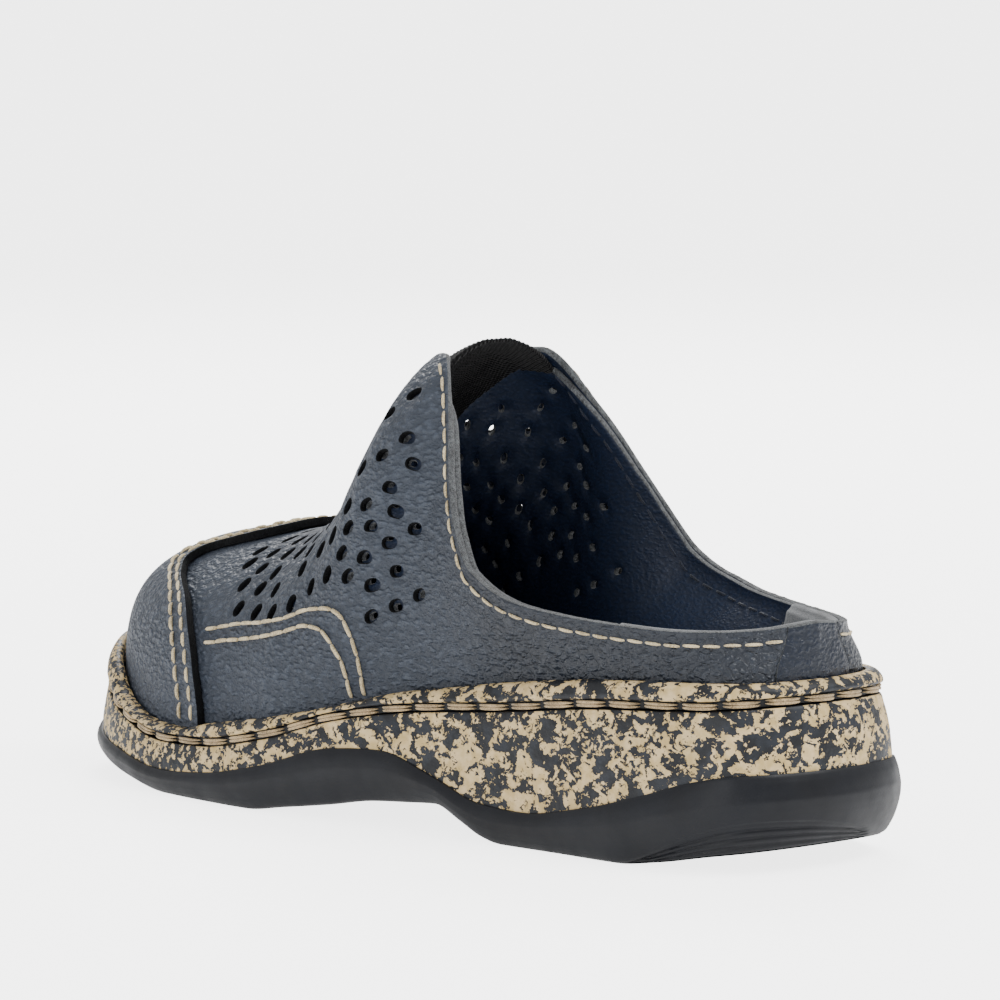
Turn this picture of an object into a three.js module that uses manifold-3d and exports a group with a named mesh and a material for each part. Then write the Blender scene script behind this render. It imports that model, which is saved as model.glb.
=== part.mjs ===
// A slip-on leather clog (left shoe): perforated leather upper with an elastic gore at the throat,
// a stitched rand, a mottled midsole and a rubber outsole, with the pieces hidden inside it.
// Millimetres, +Z up. The toe points to -Y and the outer side of the foot is +X.
// Along the shoe a place is given as its run R: the distance back from the toe tip of the rand.

import * as THREE from "three";
import { mergeVertices } from "three/addons/utils/BufferGeometryUtils.js";
import Module from "manifold-3d";

const wasm = await Module();
wasm.setup();

// ---- Driving dimensions ----

const LENGTH = 252; // rand, toe to heel
const WIDTH = 96; // rand, across the ball of the foot
const CLEARANCE = 0.3; // gap between pieces that touch
const LAYER_GAP = 0.6; // gap between curved layers of the upper

const LEATHER = 1.8; // upper leather
const TOE_CAP_LEATHER = 1.8; // the cap lies on top of the vamp
const LINING = 1.1;
const STIFFENER = 1.0; // toe puff and heel counter
const ELASTIC = 1.2;

const UPPER_INSET = 3.4; // upper's outer face, in from the rand's edge
const RAND_GAP = 0.6; // room between the rand and the upper that it wraps
const OUTSOLE_OVERHANG = 3; // outsole's top lip, out from the rand's edge
const OUTSOLE_BULGE = 4.2; // outsole's widest line, out from the rand's edge
const OUTSOLE_TUCK = 1.5; // outsole's bottom edge, out from the rand's edge
const GROOVE_OVERHANG = 1.2; // midsole at the stitched groove, out from the rand's edge
const HEEL_FLARE = 1.4; // extra reach of the midsole's foot and the outsole at the heel
const GROOVE_DEPTH = 1.6;
const GROOVE_HEIGHT = 2.2;

const BOARD = 2.0; // insole board
const FOOTBED_GAP = 1.8; // room between the footbed and the linings round it
const FOAM = 4.0; // footbed foam in the middle of the ball
const HEEL_CUP = 3.2; // how far the footbed rises at the sides of the heel
const COVER = 1.2; // leather cover of the footbed

const SHANK_WIDTH = 14;
const SHANK_THICKNESS = 1.4;
const SHANK_START = 118;
const SHANK_END = 205;

const PAD_THICKNESS = 2.2; // tread pads let into the outsole
const PAD_CORNER = 9;

const THREAD = 0.9;
const RAND_THREAD = 1.5;
const COLLAR_SEAM_DROP = 3.2; // stitch line below the topline edge
const CAP_SEAM_NEAR = 2.8; // two stitch lines in front of the toe cap's edge
const CAP_SEAM_FAR = 8.2;
const CAP_OVERLAP = 9; // how far the vamp reaches forward under the toe cap
const BACK_STRIP_WIDTH = 26;
const GRIP_START = 208; // where the suede heel grip starts

// ---- Mesh detail ----

const STATIONS = 32; // steps from toe to heel on each side
const THREAD_SIDES = 6;
const BURIED = 0.15; // share of the way up that the rand hides
const RISES = [0, BURIED, 0.3, 0.45, 0.56, 0.66, 0.77, 0.88, 0.95, 1]; // rows up the upper

// ---- Curves along the shoe ----

// Smooth curve through [place, value] pairs that never overshoots them, so flat stretches stay flat.
function curve(pairs) {
  const x = pairs.map((p) => p[0]);
  const y = pairs.map((p) => p[1]);
  const slope = x.slice(1).map((_, i) => (y[i + 1] - y[i]) / (x[i + 1] - x[i]));
  const tangent = x.map((_, i) => {
    if (i === 0 || i === x.length - 1) return slope[Math.min(i, slope.length - 1)];
    const [a, b] = [slope[i - 1], slope[i]];
    return a * b <= 0 ? 0 : (2 * a * b) / (a + b);
  });
  return (at) => {
    const place = THREE.MathUtils.clamp(at, x[0], x[x.length - 1]);
    let i = 0;
    while (i < slope.length - 1 && place > x[i + 1]) i += 1;
    const step = x[i + 1] - x[i];
    const t = (place - x[i]) / step;
    const lower = y[i] * (1 + 2 * t) * (1 - t) ** 2 + tangent[i] * step * t * (1 - t) ** 2;
    const upper = y[i + 1] * (3 - 2 * t) * t ** 2 + tangent[i + 1] * step * t ** 2 * (t - 1);
    return lower + upper;
  };
}

// The tables below are written for a rand 252 long and 96 wide, and stretch with LENGTH and WIDTH.
const RUN = LENGTH / 252;
const SPREAD = WIDTH / 96;
const along = (pairs) => {
  const shape = curve(pairs);
  return (run) => shape(run / RUN);
};

// Heights along the shoe.
const randTop = along([
  [0, 36], [12, 33.5], [24, 28.5], [36, 21.5], [50, 17.8], [66, 17], [77, 19.4], [98, 23],
  [111, 25.7], [128, 29.9], [143, 33.5], [160, 36.2], [176, 38.8], [208, 42.5], [236, 43.9], [252, 44.2],
]);
const grooveTop = along([
  [0, 26], [12, 23.5], [23, 20.5], [40, 16], [59, 13.1], [76, 13.7], [100, 18], [123, 24.7],
  [145, 28.7], [177, 32.1], [210, 36], [237, 37.6], [252, 39],
]);
const outsoleTop = along([
  [-3, 15], [16, 10.9], [37, 8.8], [61, 6.4], [79, 7.6], [101, 11.8], [124, 18.3], [139.5, 19.3],
  [156, 14.8], [172, 9.7], [185, 9], [205, 12.2], [223, 17], [236, 21.2], [246, 23.3], [255, 23.8],
]);
const outsoleBottom = along([
  [-3, 10.5], [8, 7.6], [17, 5.4], [28, 3.4], [45, 1.6], [62, 0], [94, 0], [107, 1.7], [122, 3.9],
  [135, 6.1], [146, 6.9], [156, 7.5], [165, 3.9], [171, 1.2], [177, 0], [214, 0], [226, 1.4],
  [239, 3.8], [248, 5.2], [255, 6.4],
]);

// ---- Outline of the rand ----

const OUTER_SIDE = [[13, 4], [33, 20], [45, 48], [48, 82], [45.5, 110], [39, 150], [35, 190], [32, 220],
  [23, 243]];
const INNER_SIDE = [[-23, 243], [-31, 220], [-30.5, 195], [-29.5, 160], [-36, 125], [-43.5, 88], [-45, 58],
  [-40, 28], [-28, 8]];
const TIP = [-8, 0];
const HEEL = [0, 250];
const outline = new THREE.CatmullRomCurve3(
  [TIP, ...OUTER_SIDE, HEEL, ...INNER_SIDE].map(([x, run]) => new THREE.Vector3(x * SPREAD, run * RUN, 0)),
  true,
  "catmullrom",
  0.5,
);
outline.arcLengthDivisions = 800;

// The place round the outline, from 0 to 1, where the run is least (sign -1) or greatest (sign 1).
function endOfOutline(sign, near) {
  let best = near;
  for (let step = -60; step <= 60; step += 1) {
    const u = near + step / 1200;
    const run = outline.getPointAt((u + 1) % 1).y;
    if (sign * run > sign * outline.getPointAt((best + 1) % 1).y) best = u;
  }
  return best;
}
const U_TIP = endOfOutline(-1, 0);
const U_HEEL = endOfOutline(1, 0.5);

const OUTER = 1; // the +X side
const INNER = -1;

// Point on the outline at a station from 0, the toe, to 1, the heel, moved outwards by `out`.
function edge(side, station, out = 0) {
  const u = side === OUTER ? U_TIP + station * (U_HEEL - U_TIP) : U_TIP - station * (1 - U_HEEL + U_TIP);
  const wrapped = ((u % 1) + 1) % 1;
  const point = outline.getPointAt(wrapped);
  const tangent = outline.getTangentAt(wrapped);
  return { x: point.x + tangent.y * out, run: point.y - tangent.x * out };
}

// The station on one side whose outline point has this run.
function stationAt(run, side = OUTER) {
  let [low, high] = [0, 1];
  for (let step = 0; step < 30; step += 1) {
    const middle = (low + high) / 2;
    if (edge(side, middle).run < run) low = middle;
    else high = middle;
  }
  return (low + high) / 2;
}

// ---- Origin: the middle of the outsole's footprint, on the ground ----

const reach = (side, axis) => {
  const points = Array.from({ length: 201 }, (_, i) => edge(side, i / 200, OUTSOLE_BULGE)[axis]);
  return [Math.min(...points), Math.max(...points)];
};
const MIDDLE_X = (reach(OUTER, "x")[1] + reach(INNER, "x")[0]) / 2;
const MIDDLE_RUN = (reach(OUTER, "run")[0] + reach(OUTER, "run")[1] + 1.5 * HEEL_FLARE) / 2;
const place = ({ x, run, z }) => new THREE.Vector3(x - MIDDLE_X, run - MIDDLE_RUN, z);

// ---- Solids from grids of points ----

// Collects triangles over shared vertices and drops the ones that collapse.
class Skin {
  constructor() {
    this.index = new Map();
    this.points = [];
    this.faces = [];
  }
  vertex(p) {
    const key = [p.x, p.y, p.z].map((value) => Math.round(value * 500)).join();
    if (!this.index.has(key)) {
      this.index.set(key, this.points.length / 3);
      this.points.push(p.x, p.y, p.z);
    }
    return this.index.get(key);
  }
  triangle(a, b, c) {
    const [i, j, k] = [a, b, c].map((p) => this.vertex(p));
    if (i !== j && j !== k && k !== i) this.faces.push(i, j, k);
  }
  // Both ways round, a quad is split along a-c, so that the two faces of a shell stay parallel.
  quad(a, b, c, d, turn = 1) {
    this.triangle(a, turn > 0 ? b : c, turn > 0 ? c : b);
    this.triangle(a, turn > 0 ? c : d, turn > 0 ? d : c);
  }
  sheet(rows, turn = 1) {
    for (let i = 0; i + 1 < rows.length; i += 1)
      for (let j = 0; j + 1 < rows[i].length; j += 1)
        this.quad(rows[i][j], rows[i + 1][j], rows[i + 1][j + 1], rows[i][j + 1], turn);
  }
  geometry() {
    const geometry = new THREE.BufferGeometry();
    geometry.setAttribute("position", new THREE.Float32BufferAttribute(this.points, 3));
    geometry.setIndex(this.faces);
    geometry.computeVertexNormals();
    return geometry;
  }
}

const wall = (front, back) => front.map((point, i) => [point, back[i]]);

// Adds the solid between two grids. `turn` is 1 where rows and columns go round the front
// anticlockwise, -1 where they go clockwise. Where two shells are joined there is no wall: `open`
// tells which steps of the last column, and `openStart` whether the first row, are such joints.
function addShell(skin, front, back, turn = 1, { open = () => false, openStart = false } = {}) {
  const last = front[0].length - 1;
  skin.sheet(front, turn);
  skin.sheet(back, -turn);
  skin.sheet(wall(back.map((row) => row[0]), front.map((row) => row[0])), turn);
  for (let i = 0; i + 1 < front.length; i += 1)
    if (!open(i)) skin.quad(front[i][last], front[i + 1][last], back[i + 1][last], back[i][last], turn);
  if (!openStart) skin.sheet(wall(front[0], back[0]), turn);
  skin.sheet(wall(back[back.length - 1], front[front.length - 1]), turn);
}

const steps = (count, from = 0, to = 1) =>
  Array.from({ length: count + 1 }, (_, i) => from + ((to - from) * i) / count);

// ---- Soles: layers that follow the outline ----

const STATION_LIST = steps(STATIONS);
const flare = (share) => (station) => share * HEEL_FLARE * THREE.MathUtils.smoothstep(station, 0.78, 0.97);

// One level of a sole layer, from the toe round the outer side to the heel and back on the inner side.
function level(out, height, flareShare = 0) {
  const extra = flare(flareShare);
  const at = (side) => (station) => {
    const { x, run } = edge(side, station, out + extra(station));
    return place({ x, run, z: height(run) });
  };
  return [...STATION_LIST.map(at(OUTER)), ...STATION_LIST.slice(1, -1).reverse().map(at(INNER))];
}
const ringAt = (ring, i) => ring[(i + ring.length) % ring.length];

function bandBetween(skin, lower, upper) {
  for (let i = 0; i < lower.length; i += 1)
    skin.quad(ringAt(lower, i), ringAt(lower, i + 1), ringAt(upper, i + 1), ringAt(upper, i));
}

// Closes a level with rungs from side to side.
function closeLevel(skin, ring, up) {
  for (let i = 0; i < STATIONS; i += 1) {
    const rung = [ringAt(ring, i), ringAt(ring, i + 1), ringAt(ring, -i - 1), ringAt(ring, -i)];
    if (up) skin.quad(...rung);
    else skin.quad(...rung.reverse());
  }
}

// A solid layer from a list of levels, lowest first.
function layer(levels) {
  const skin = new Skin();
  for (let i = 0; i + 1 < levels.length; i += 1) bandBetween(skin, levels[i], levels[i + 1]);
  closeLevel(skin, levels[0], false);
  closeLevel(skin, levels[levels.length - 1], true);
  return skin.geometry();
}

// A closed band from a list of levels that goes round its section.
function hoop(levels) {
  const skin = new Skin();
  levels.forEach((ring, i) => bandBetween(skin, ring, levels[(i + 1) % levels.length]));
  return skin.geometry();
}

const mix = (a, b, t) => a + (b - a) * t;
const between = (low, high, t, lift = 0) => (run) => mix(low(run), high(run), t) + lift;

function solidOf(geometry) {
  const bare = geometry.clone();
  bare.deleteAttribute("normal");
  bare.deleteAttribute("uv");
  const merged = mergeVertices(bare, 1e-4);
  return new wasm.Manifold(
    new wasm.Mesh({
      numProp: 3,
      vertProperties: merged.attributes.position.array,
      triVerts: new Uint32Array(merged.index.array),
    }),
  );
}
function geometryOf(solid) {
  const mesh = solid.getMesh();
  const geometry = new THREE.BufferGeometry();
  geometry.setAttribute("position", new THREE.Float32BufferAttribute(mesh.vertProperties, 3));
  geometry.setIndex([...mesh.triVerts]);
  geometry.computeVertexNormals();
  return geometry;
}

// A flat pad with round corners, on the middle line of the sole.
function pad(from, to, halfWidth, middle, grow, low, high) {
  const corner = PAD_CORNER + grow;
  const [left, right] = [middle - halfWidth - grow, middle + halfWidth + grow];
  const [front, back] = [from - grow, to + grow];
  const shape = new THREE.Shape();
  shape.moveTo(left + corner, front);
  shape.lineTo(right - corner, front);
  shape.absarc(right - corner, front + corner, corner, -Math.PI / 2, 0);
  shape.lineTo(right, back - corner);
  shape.absarc(right - corner, back - corner, corner, 0, Math.PI / 2);
  shape.lineTo(left + corner, back);
  shape.absarc(left + corner, back - corner, corner, Math.PI / 2, Math.PI);
  shape.lineTo(left, front + corner);
  shape.absarc(left + corner, front + corner, corner, Math.PI, Math.PI * 1.5);
  const extrusion = { depth: high - low, bevelEnabled: false, curveSegments: 5 };
  return new THREE.ExtrudeGeometry(shape, extrusion).translate(-MIDDLE_X, -MIDDLE_RUN, low);
}

const FOREFOOT_PAD = { from: 64 * RUN, to: 92 * RUN, halfWidth: 32 * SPREAD, middle: 1.5 * SPREAD };
const HEEL_PAD = { from: 179 * RUN, to: 212 * RUN, halfWidth: 20 * SPREAD, middle: 1.5 * SPREAD };
const padGeometry = ({ from, to, halfWidth, middle }, grow, low, high) =>
  pad(from, to, halfWidth, middle, grow, low, high);

function outsole() {
  const body = layer([
    level(OUTSOLE_TUCK, outsoleBottom, 0.6),
    level(OUTSOLE_BULGE - 0.9, between(outsoleBottom, outsoleTop, 0.22), 1.2),
    level(OUTSOLE_BULGE, between(outsoleBottom, outsoleTop, 0.55), 1.5),
    level(OUTSOLE_OVERHANG, between(outsoleBottom, outsoleTop, 1, -CLEARANCE), 1),
  ]);
  return [FOREFOOT_PAD, HEEL_PAD].reduce(
    (solid, spec) => solid.subtract(solidOf(padGeometry(spec, CLEARANCE, -1, PAD_THICKNESS + CLEARANCE))),
    solidOf(body),
  );
}

// The groove that the rand's thread lies in, between the midsole's top and the rand's shoulder.
const GROOVE_FLOOR = GROOVE_OVERHANG - GROOVE_DEPTH;

function midsole() {
  const body = layer([
    level(OUTSOLE_OVERHANG - 0.4, outsoleTop, 1),
    level(mix(OUTSOLE_OVERHANG, GROOVE_OVERHANG, 0.7), between(outsoleTop, grooveTop, 0.6), 0.7),
    level(GROOVE_OVERHANG - 0.1, between(outsoleTop, grooveTop, 1, -0.9)),
    level(GROOVE_OVERHANG - 0.9, grooveTop),
  ]);
  return solidOf(body).subtract(solidOf(shankShape(CLEARANCE)));
}

function rand() {
  const inner = -UPPER_INSET + RAND_GAP;
  const foot = (run) => grooveTop(run) + CLEARANCE;
  const shoulder = (run) => grooveTop(run) + GROOVE_HEIGHT;
  return hoop([
    level(inner, foot),
    level(GROOVE_FLOOR, foot),
    level(GROOVE_FLOOR, shoulder),
    level(GROOVE_OVERHANG - 0.5, between(shoulder, randTop, 0.12)),
    level(-0.1, between(shoulder, randTop, 0.75)),
    level(-1.3, randTop),
    level(inner, randTop),
  ]);
}

// Thick lockstitch thread that lies in the groove all the way round.
function randThread() {
  const radius = RAND_THREAD / 2;
  const out = GROOVE_FLOOR + CLEARANCE + radius;
  const height = (run) => grooveTop(run) + GROOVE_HEIGHT / 2 + CLEARANCE / 2;
  return hoop(
    steps(THREAD_SIDES - 1, 0, 2 * Math.PI * (1 - 1 / THREAD_SIDES)).map((angle) =>
      level(out + radius * Math.cos(angle), (run) => height(run) + radius * Math.sin(angle)),
    ),
  );
}

// Strip of spring steel along the waist, let into the midsole's top.
function shankShape(grow) {
  const skin = new Skin();
  const runs = steps(10, SHANK_START * RUN - grow, SHANK_END * RUN + grow);
  const half = SHANK_WIDTH / 2 + grow;
  const top = (run) => grooveTop(run) - CLEARANCE + grow * 2;
  const bottom = (run) => grooveTop(run) - CLEARANCE - SHANK_THICKNESS - grow;
  const grid = (height) => runs.map((run) => [half, -half].map((x) => place({ x, run, z: height(run) })));
  addShell(skin, grid(top), grid(bottom));
  return skin.geometry();
}

// ---- Layers of the upper, as depths below the vamp's outer face ----

const CAP_DEPTH = -CLEARANCE - TOE_CAP_LEATHER; // the toe cap stands proud
const UNDER_LEATHER = LEATHER + LAYER_GAP;
const LINING_FACE = UNDER_LEATHER + LINING;
const GRIP_DEPTH = UNDER_LEATHER + STIFFENER + LAYER_GAP;
const GRIP_FACE = GRIP_DEPTH + LINING;

const gripStart = stationAt(GRIP_START * RUN);

// The cap is a second thickness over the vamp, so the surface under it lies deeper.
const capFull = stationAt(80 * RUN);
const capNone = stationAt(98 * RUN);
function upperInset(station) {
  const t = THREE.MathUtils.smoothstep(station, capFull, capNone);
  return UPPER_INSET - CAP_DEPTH * (1 - t);
}

// ---- Footbed: slabs inside the rand, with a cup at the heel ----

const FOOTBED_COLUMNS = 6;
const CUP_TURN = 0.9; // station where the cup starts to turn round the heel
// Shares of the foam's thickness and of the cup's rise.
const foamAt = along([[0, 0.85], [40, 1], [110, 1.1], [150, 1.25], [200, 0.9], [252, 0.8]]);
const cupAt = along([[0, 0], [22, 0], [60, 0.13], [110, 0.35], [150, 0.65], [200, 1], [252, 1]]);

// Edge of the footbed, inside the layers of the upper.
function footbedInset(station) {
  const grip = THREE.MathUtils.smoothstep(station, gripStart - 0.03, gripStart);
  return upperInset(station) + mix(LINING_FACE, GRIP_FACE, grip) + FOOTBED_GAP;
}

// Slab between two heights, each a function of run and of nearness to the rim, 0 to 1.
function slab(low, high) {
  const grid = (height) =>
    STATION_LIST.map((station) => {
      const inset = footbedInset(station);
      const [right, left] = [edge(OUTER, station, -inset), edge(INNER, station, -inset)];
      const nearEnd = THREE.MathUtils.smoothstep(station, CUP_TURN, 1);
      return steps(FOOTBED_COLUMNS, -1, 1).map((share) => {
        const t = (share + 1) / 2;
        const run = mix(left.run, right.run, t);
        const nearRim = mix(share ** 4, 1, nearEnd);
        return place({ x: mix(left.x, right.x, t), run, z: height(run, nearRim) });
      });
    });
  const skin = new Skin();
  addShell(skin, grid(high), grid(low), -1);
  return skin.geometry();
}
const boardBottom = (run) => grooveTop(run) + CLEARANCE;
const foamBottom = (run) => boardBottom(run) + BOARD + CLEARANCE;
const foamTop = (run, nearRim) => foamBottom(run) + foamAt(run) * FOAM + cupAt(run) * HEEL_CUP * nearRim;
const coverBottom = (run, nearRim) => foamTop(run, nearRim) + CLEARANCE;
const coverTop = (run, nearRim) => coverBottom(run, nearRim) + COVER;

// ---- Upper: one smooth surface from the rand to the ridge or the topline ----

// Top edge of the upper's surface, by the run where its rib leaves the rand on the outer side:
// [rib's run, half width, run, height]. It follows the ridge of the vamp, leaves it at the gore's
// point, climbs to the throat corner and then follows the topline round to the heel.
const GORE_POINT = 104;
const THROAT_CORNER = 122;
const TOP_EDGE = [
  [0, 0, 22, 51], [14, 0, 28, 54.8], [30, 0, 39, 59.6], [50, 0, 54, 62.8], [70, 0, 73, 66],
  [79, 0, 82.5, 68.8], [85, 0, 89.5, 72.2], [91, 0, 96.5, 77.2], [98, 0, 104, 86], [GORE_POINT, 0, 109.5, 96],
  [110, 6.5, 116, 106], [116, 12, 124.5, 113], [THROAT_CORNER, 16, 132.4, 114], [132, 25.2, 144.2, 99.3],
  [141, 31.8, 152.1, 84.5], [149, 35.5, 158.2, 74.4], [158, 37.8, 166, 65], [172, 38, 178.4, 59.5],
  [190, 35.2, 193, 56.8], [207, 31.5, 209, 55.5], [224, 26.8, 224.8, 54.9], [235, 22.4, 232.5, 55],
  [243, 16.6, 239.2, 55.4], [247.5, 9.5, 244, 56.1], [250, 0, 246.2, 57],
];
const topColumn = (column) => curve(TOP_EDGE.map((row) => [stationAt(row[0] * RUN), row[column]]));
const [topHalf, topRun, topHeight] = [1, 2, 3].map(topColumn);

// How steeply the surface runs into its top edge: 0 across the ridge, 90 degrees at the topline.
const topLean = curve(
  [[0, 0], [GORE_POINT, 0], [110, 10], [116, 22], [THROAT_CORNER, 40], [132, 66], [145, 80], [160, 88],
    [252, 88]].map(([run, degrees]) => [stationAt(run * RUN), THREE.MathUtils.degToRad(degrees)]),
);
// Fullness of a rib: how far it goes straight up from the rand, and straight out from the top.
const fullFoot = curve([[0, 0.62], [0.3, 0.6], [0.45, 0.45], [0.6, 0.36], [1, 0.34]]);
const fullTop = curve([[0, 0.5], [0.3, 0.6], [0.45, 0.5], [0.6, 0.36], [1, 0.34]]);

// Point of the upper's surface: `rise` is 0 at its foot, inside the rand, and 1 at the top edge.
function surface(side, station, rise) {
  const foot = edge(side, station, -upperInset(station));
  const outward = edge(side, station, 1 - upperInset(station));
  const seat = grooveTop(foot.run) + 2 * CLEARANCE;
  const p0 = new THREE.Vector3(foot.x, foot.run, randTop(foot.run) + CLEARANCE);
  if (rise < BURIED) return place({ x: foot.x, run: foot.run, z: mix(seat, p0.z, rise / BURIED) });
  const p3 = new THREE.Vector3(side * topHalf(station) * SPREAD, topRun(station) * RUN, topHeight(station));
  const out = new THREE.Vector3(outward.x - foot.x, outward.run - foot.run, 0).normalize();
  const reachOut = new THREE.Vector2(p3.x - p0.x, p3.y - p0.y).length();
  const rib = p3.clone().sub(p0).length();
  const lean = topLean(station);
  const p1 = p0.clone().add(new THREE.Vector3(0, 0, fullFoot(station) * mix(p3.z - p0.z, rib, 0.35)));
  const fromTop = out.clone().multiplyScalar(Math.cos(lean)).add(new THREE.Vector3(0, 0, -Math.sin(lean)));
  const pull = fullTop(station) * mix(reachOut, rib, Math.sin(lean));
  const p2 = p3.clone().addScaledVector(fromTop, pull);
  const point = new THREE.CubicBezierCurve3(p0, p1, p2, p3).getPoint((rise - BURIED) / (1 - BURIED));
  return place({ x: point.x, run: point.y, z: point.z });
}

// Outward direction of the surface. On the ridge it has no sideways part.
function facing(side, station, rise) {
  const onRidge = rise > 0.999 && topHalf(station) < 0.01;
  const small = 1e-3;
  const [s0, s1] = [Math.max(station - small, 0), Math.min(station + small, 1)];
  const before = station === 0 ? surface(-side, small, rise) : surface(side, s0, rise);
  const lengthwise = surface(side, s1, rise).sub(before);
  if (onRidge) return new THREE.Vector3(1, 0, 0).cross(lengthwise).normalize();
  const [r0, r1] = [Math.max(rise - small, 0), Math.min(rise + small, 1)];
  const upwards = surface(side, station, r1).sub(surface(side, station, r0));
  return lengthwise.cross(upwards).multiplyScalar(side).normalize();
}

// Point at a depth below the surface, so a negative depth stands proud of it.
const below = (side, station, rise, depth) =>
  surface(side, station, rise).addScaledVector(facing(side, station, rise), -depth);

// Panel between two depths, on one side or on both. stationsAt(rise) lists its stations, and
// topAt(station), where it is given, is the rise of its last row. `joints` are those of addShell.
function panel(sides, stationsAt, outside, inside, { rises = RISES, topAt, ...joints } = {}) {
  const skin = new Skin();
  const columns = rises.map((rise) => stationsAt(rise));
  for (const side of sides) {
    const grid = (depth) =>
      columns[0].map((_, i) =>
        rises.map((rise, j) => {
          const station = columns[j][i];
          const last = topAt && j === rises.length - 1;
          return below(side, station, last ? topAt(station) : rise, depth);
        }),
      );
    addShell(skin, grid(outside), grid(inside), side, joints);
  }
  return skin.geometry();
}

// Edge of the toe cap: [rise, run on the rand]. It dips forward at the shoulders.
const capEdge = curve([
  [0, 70], [BURIED, 70], [0.3, 65], [0.42, 58], [0.5, 52], [0.6, 41], [0.66, 37], [0.72, 39], [0.82, 56],
  [0.9, 64], [1, 65],
]);
const capStation = (rise, forward = 0) => stationAt(capEdge(rise) * RUN - forward);

// Stations of the panels. Layers that lie on each other share them, so that their facets are parallel.
const gorePoint = stationAt(GORE_POINT * RUN);
const throatCorner = stationAt(THROAT_CORNER * RUN);
const backSeam = 1 - BACK_STRIP_WIDTH / 2 / outline.getLength() / (1 - U_HEEL + U_TIP);
const TOE_STEPS = 9;
const RIDGE_STEPS = 7;
const NOTCH_STEPS = 4;
const COLLAR_STEPS = 9; // from the throat corner to the heel grip
const HEEL_STEPS = 4; // from the heel grip to the back strip
const GORE_TUCK = 0.95; // rise of the gore's edge, under the leather
const GORE_DOME = 0.36; // rise of the gore between the corners, as a share of its half width
const LINING_TOP = 0.98; // rises at which the lining and the grip end, just below the topline
const GRIP_TOP = 0.98;
const GRIP_SETBACK = 0.003; // stations between the lining and the grip, and between strip and vamp
const STRIP_SETBACK = 0.0012;
const LINING_RISES = [...RISES.slice(0, -2), 1];
const LINING_LAP = 2; // steps of the vamp that the toe lining reaches under

const toeStations = (rise) => steps(TOE_STEPS, 0, capStation(rise, CAP_OVERLAP));
const vampStations = (rise) => [
  ...steps(RIDGE_STEPS, capStation(rise, CAP_OVERLAP), gorePoint).slice(0, -1),
  ...steps(NOTCH_STEPS, gorePoint, throatCorner).slice(0, -1),
  ...steps(COLLAR_STEPS, throatCorner, gripStart).slice(0, -1),
  ...steps(HEEL_STEPS, gripStart, backSeam),
];
const HEEL_STATIONS = [...steps(HEEL_STEPS, gripStart, backSeam).slice(0, -1), ...steps(3, backSeam, 1)];
const COUNTER_STATIONS = HEEL_STATIONS.map((station, i) => (i ? station : station + GRIP_SETBACK));

// A panel that starts at the tip: its two sides join there and along the ridge.
const ROUND_THE_TOE = { open: () => true, openStart: true };

function toeCap() {
  const stationsAt = (rise) => [
    ...toeStations(rise),
    capStation(rise, CAP_OVERLAP / 2),
    capStation(rise),
  ];
  return panel([OUTER, INNER], stationsAt, CAP_DEPTH, -CLEARANCE, ROUND_THE_TOE);
}
function toePuff() {
  const stationsAt = (rise) => [...toeStations(rise).slice(0, -1), capStation(rise, CAP_OVERLAP + 2)];
  return panel([OUTER, INNER], stationsAt, 0, STIFFENER, ROUND_THE_TOE);
}
function toeLining() {
  const stationsAt = (rise) => [
    ...toeStations(rise).slice(0, -1),
    ...vampStations(rise).slice(0, LINING_LAP + 1),
  ];
  return panel([OUTER, INNER], stationsAt, UNDER_LEATHER, LINING_FACE, ROUND_THE_TOE);
}
const vamp = () => panel([OUTER, INNER], vampStations, 0, LEATHER, { open: (i) => i < RIDGE_STEPS });

// Lining of one side, from the toe lining to the heel grip. It leaves room for the gore.
function sideLining(side) {
  const seam = 0.5 / outline.getLength();
  const last = RIDGE_STEPS + NOTCH_STEPS + COLLAR_STEPS;
  const stationsAt = (rise) =>
    vampStations(rise).slice(LINING_LAP, last + 1).map((station, i) => (i ? station : station + 4 * seam));
  const overGore = (station) =>
    THREE.MathUtils.smoothstep(station, gorePoint - 0.05, gorePoint - 0.02)
    * (1 - THREE.MathUtils.smoothstep(station, throatCorner + 0.004, throatCorner + 0.03));
  const topAt = (station) => mix(LINING_TOP, GORE_TUCK - 0.01, overGore(station));
  return panel([side], stationsAt, UNDER_LEATHER, LINING_FACE, { rises: LINING_RISES, topAt });
}

// Elastic web that fills the notch between the throat corners, tucked under the leather on each side.
function elasticGore() {
  const first = RIDGE_STEPS - 1;
  const stations = vampStations(1).slice(first, RIDGE_STEPS + NOTCH_STEPS + 1);
  const tuck = [GORE_TUCK, 1];
  const row = (station, depth) => {
    const [right, left] = [OUTER, INNER].map((side) => tuck.map((rise) => below(side, station, rise, depth)));
    const bulge = topHalf(station) * SPREAD * GORE_DOME;
    const bridge = [0.25, 0.5, 0.75].map((t) =>
      right[1].clone().lerp(left[1], t).add(new THREE.Vector3(0, 0, bulge * 4 * t * (1 - t))));
    return [...right, ...bridge, ...left.reverse()];
  };
  const skin = new Skin();
  const grid = (depth) => stations.map((station) => row(station, depth));
  addShell(skin, grid(UNDER_LEATHER), grid(UNDER_LEATHER + ELASTIC));
  return skin.geometry();
}

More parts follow.
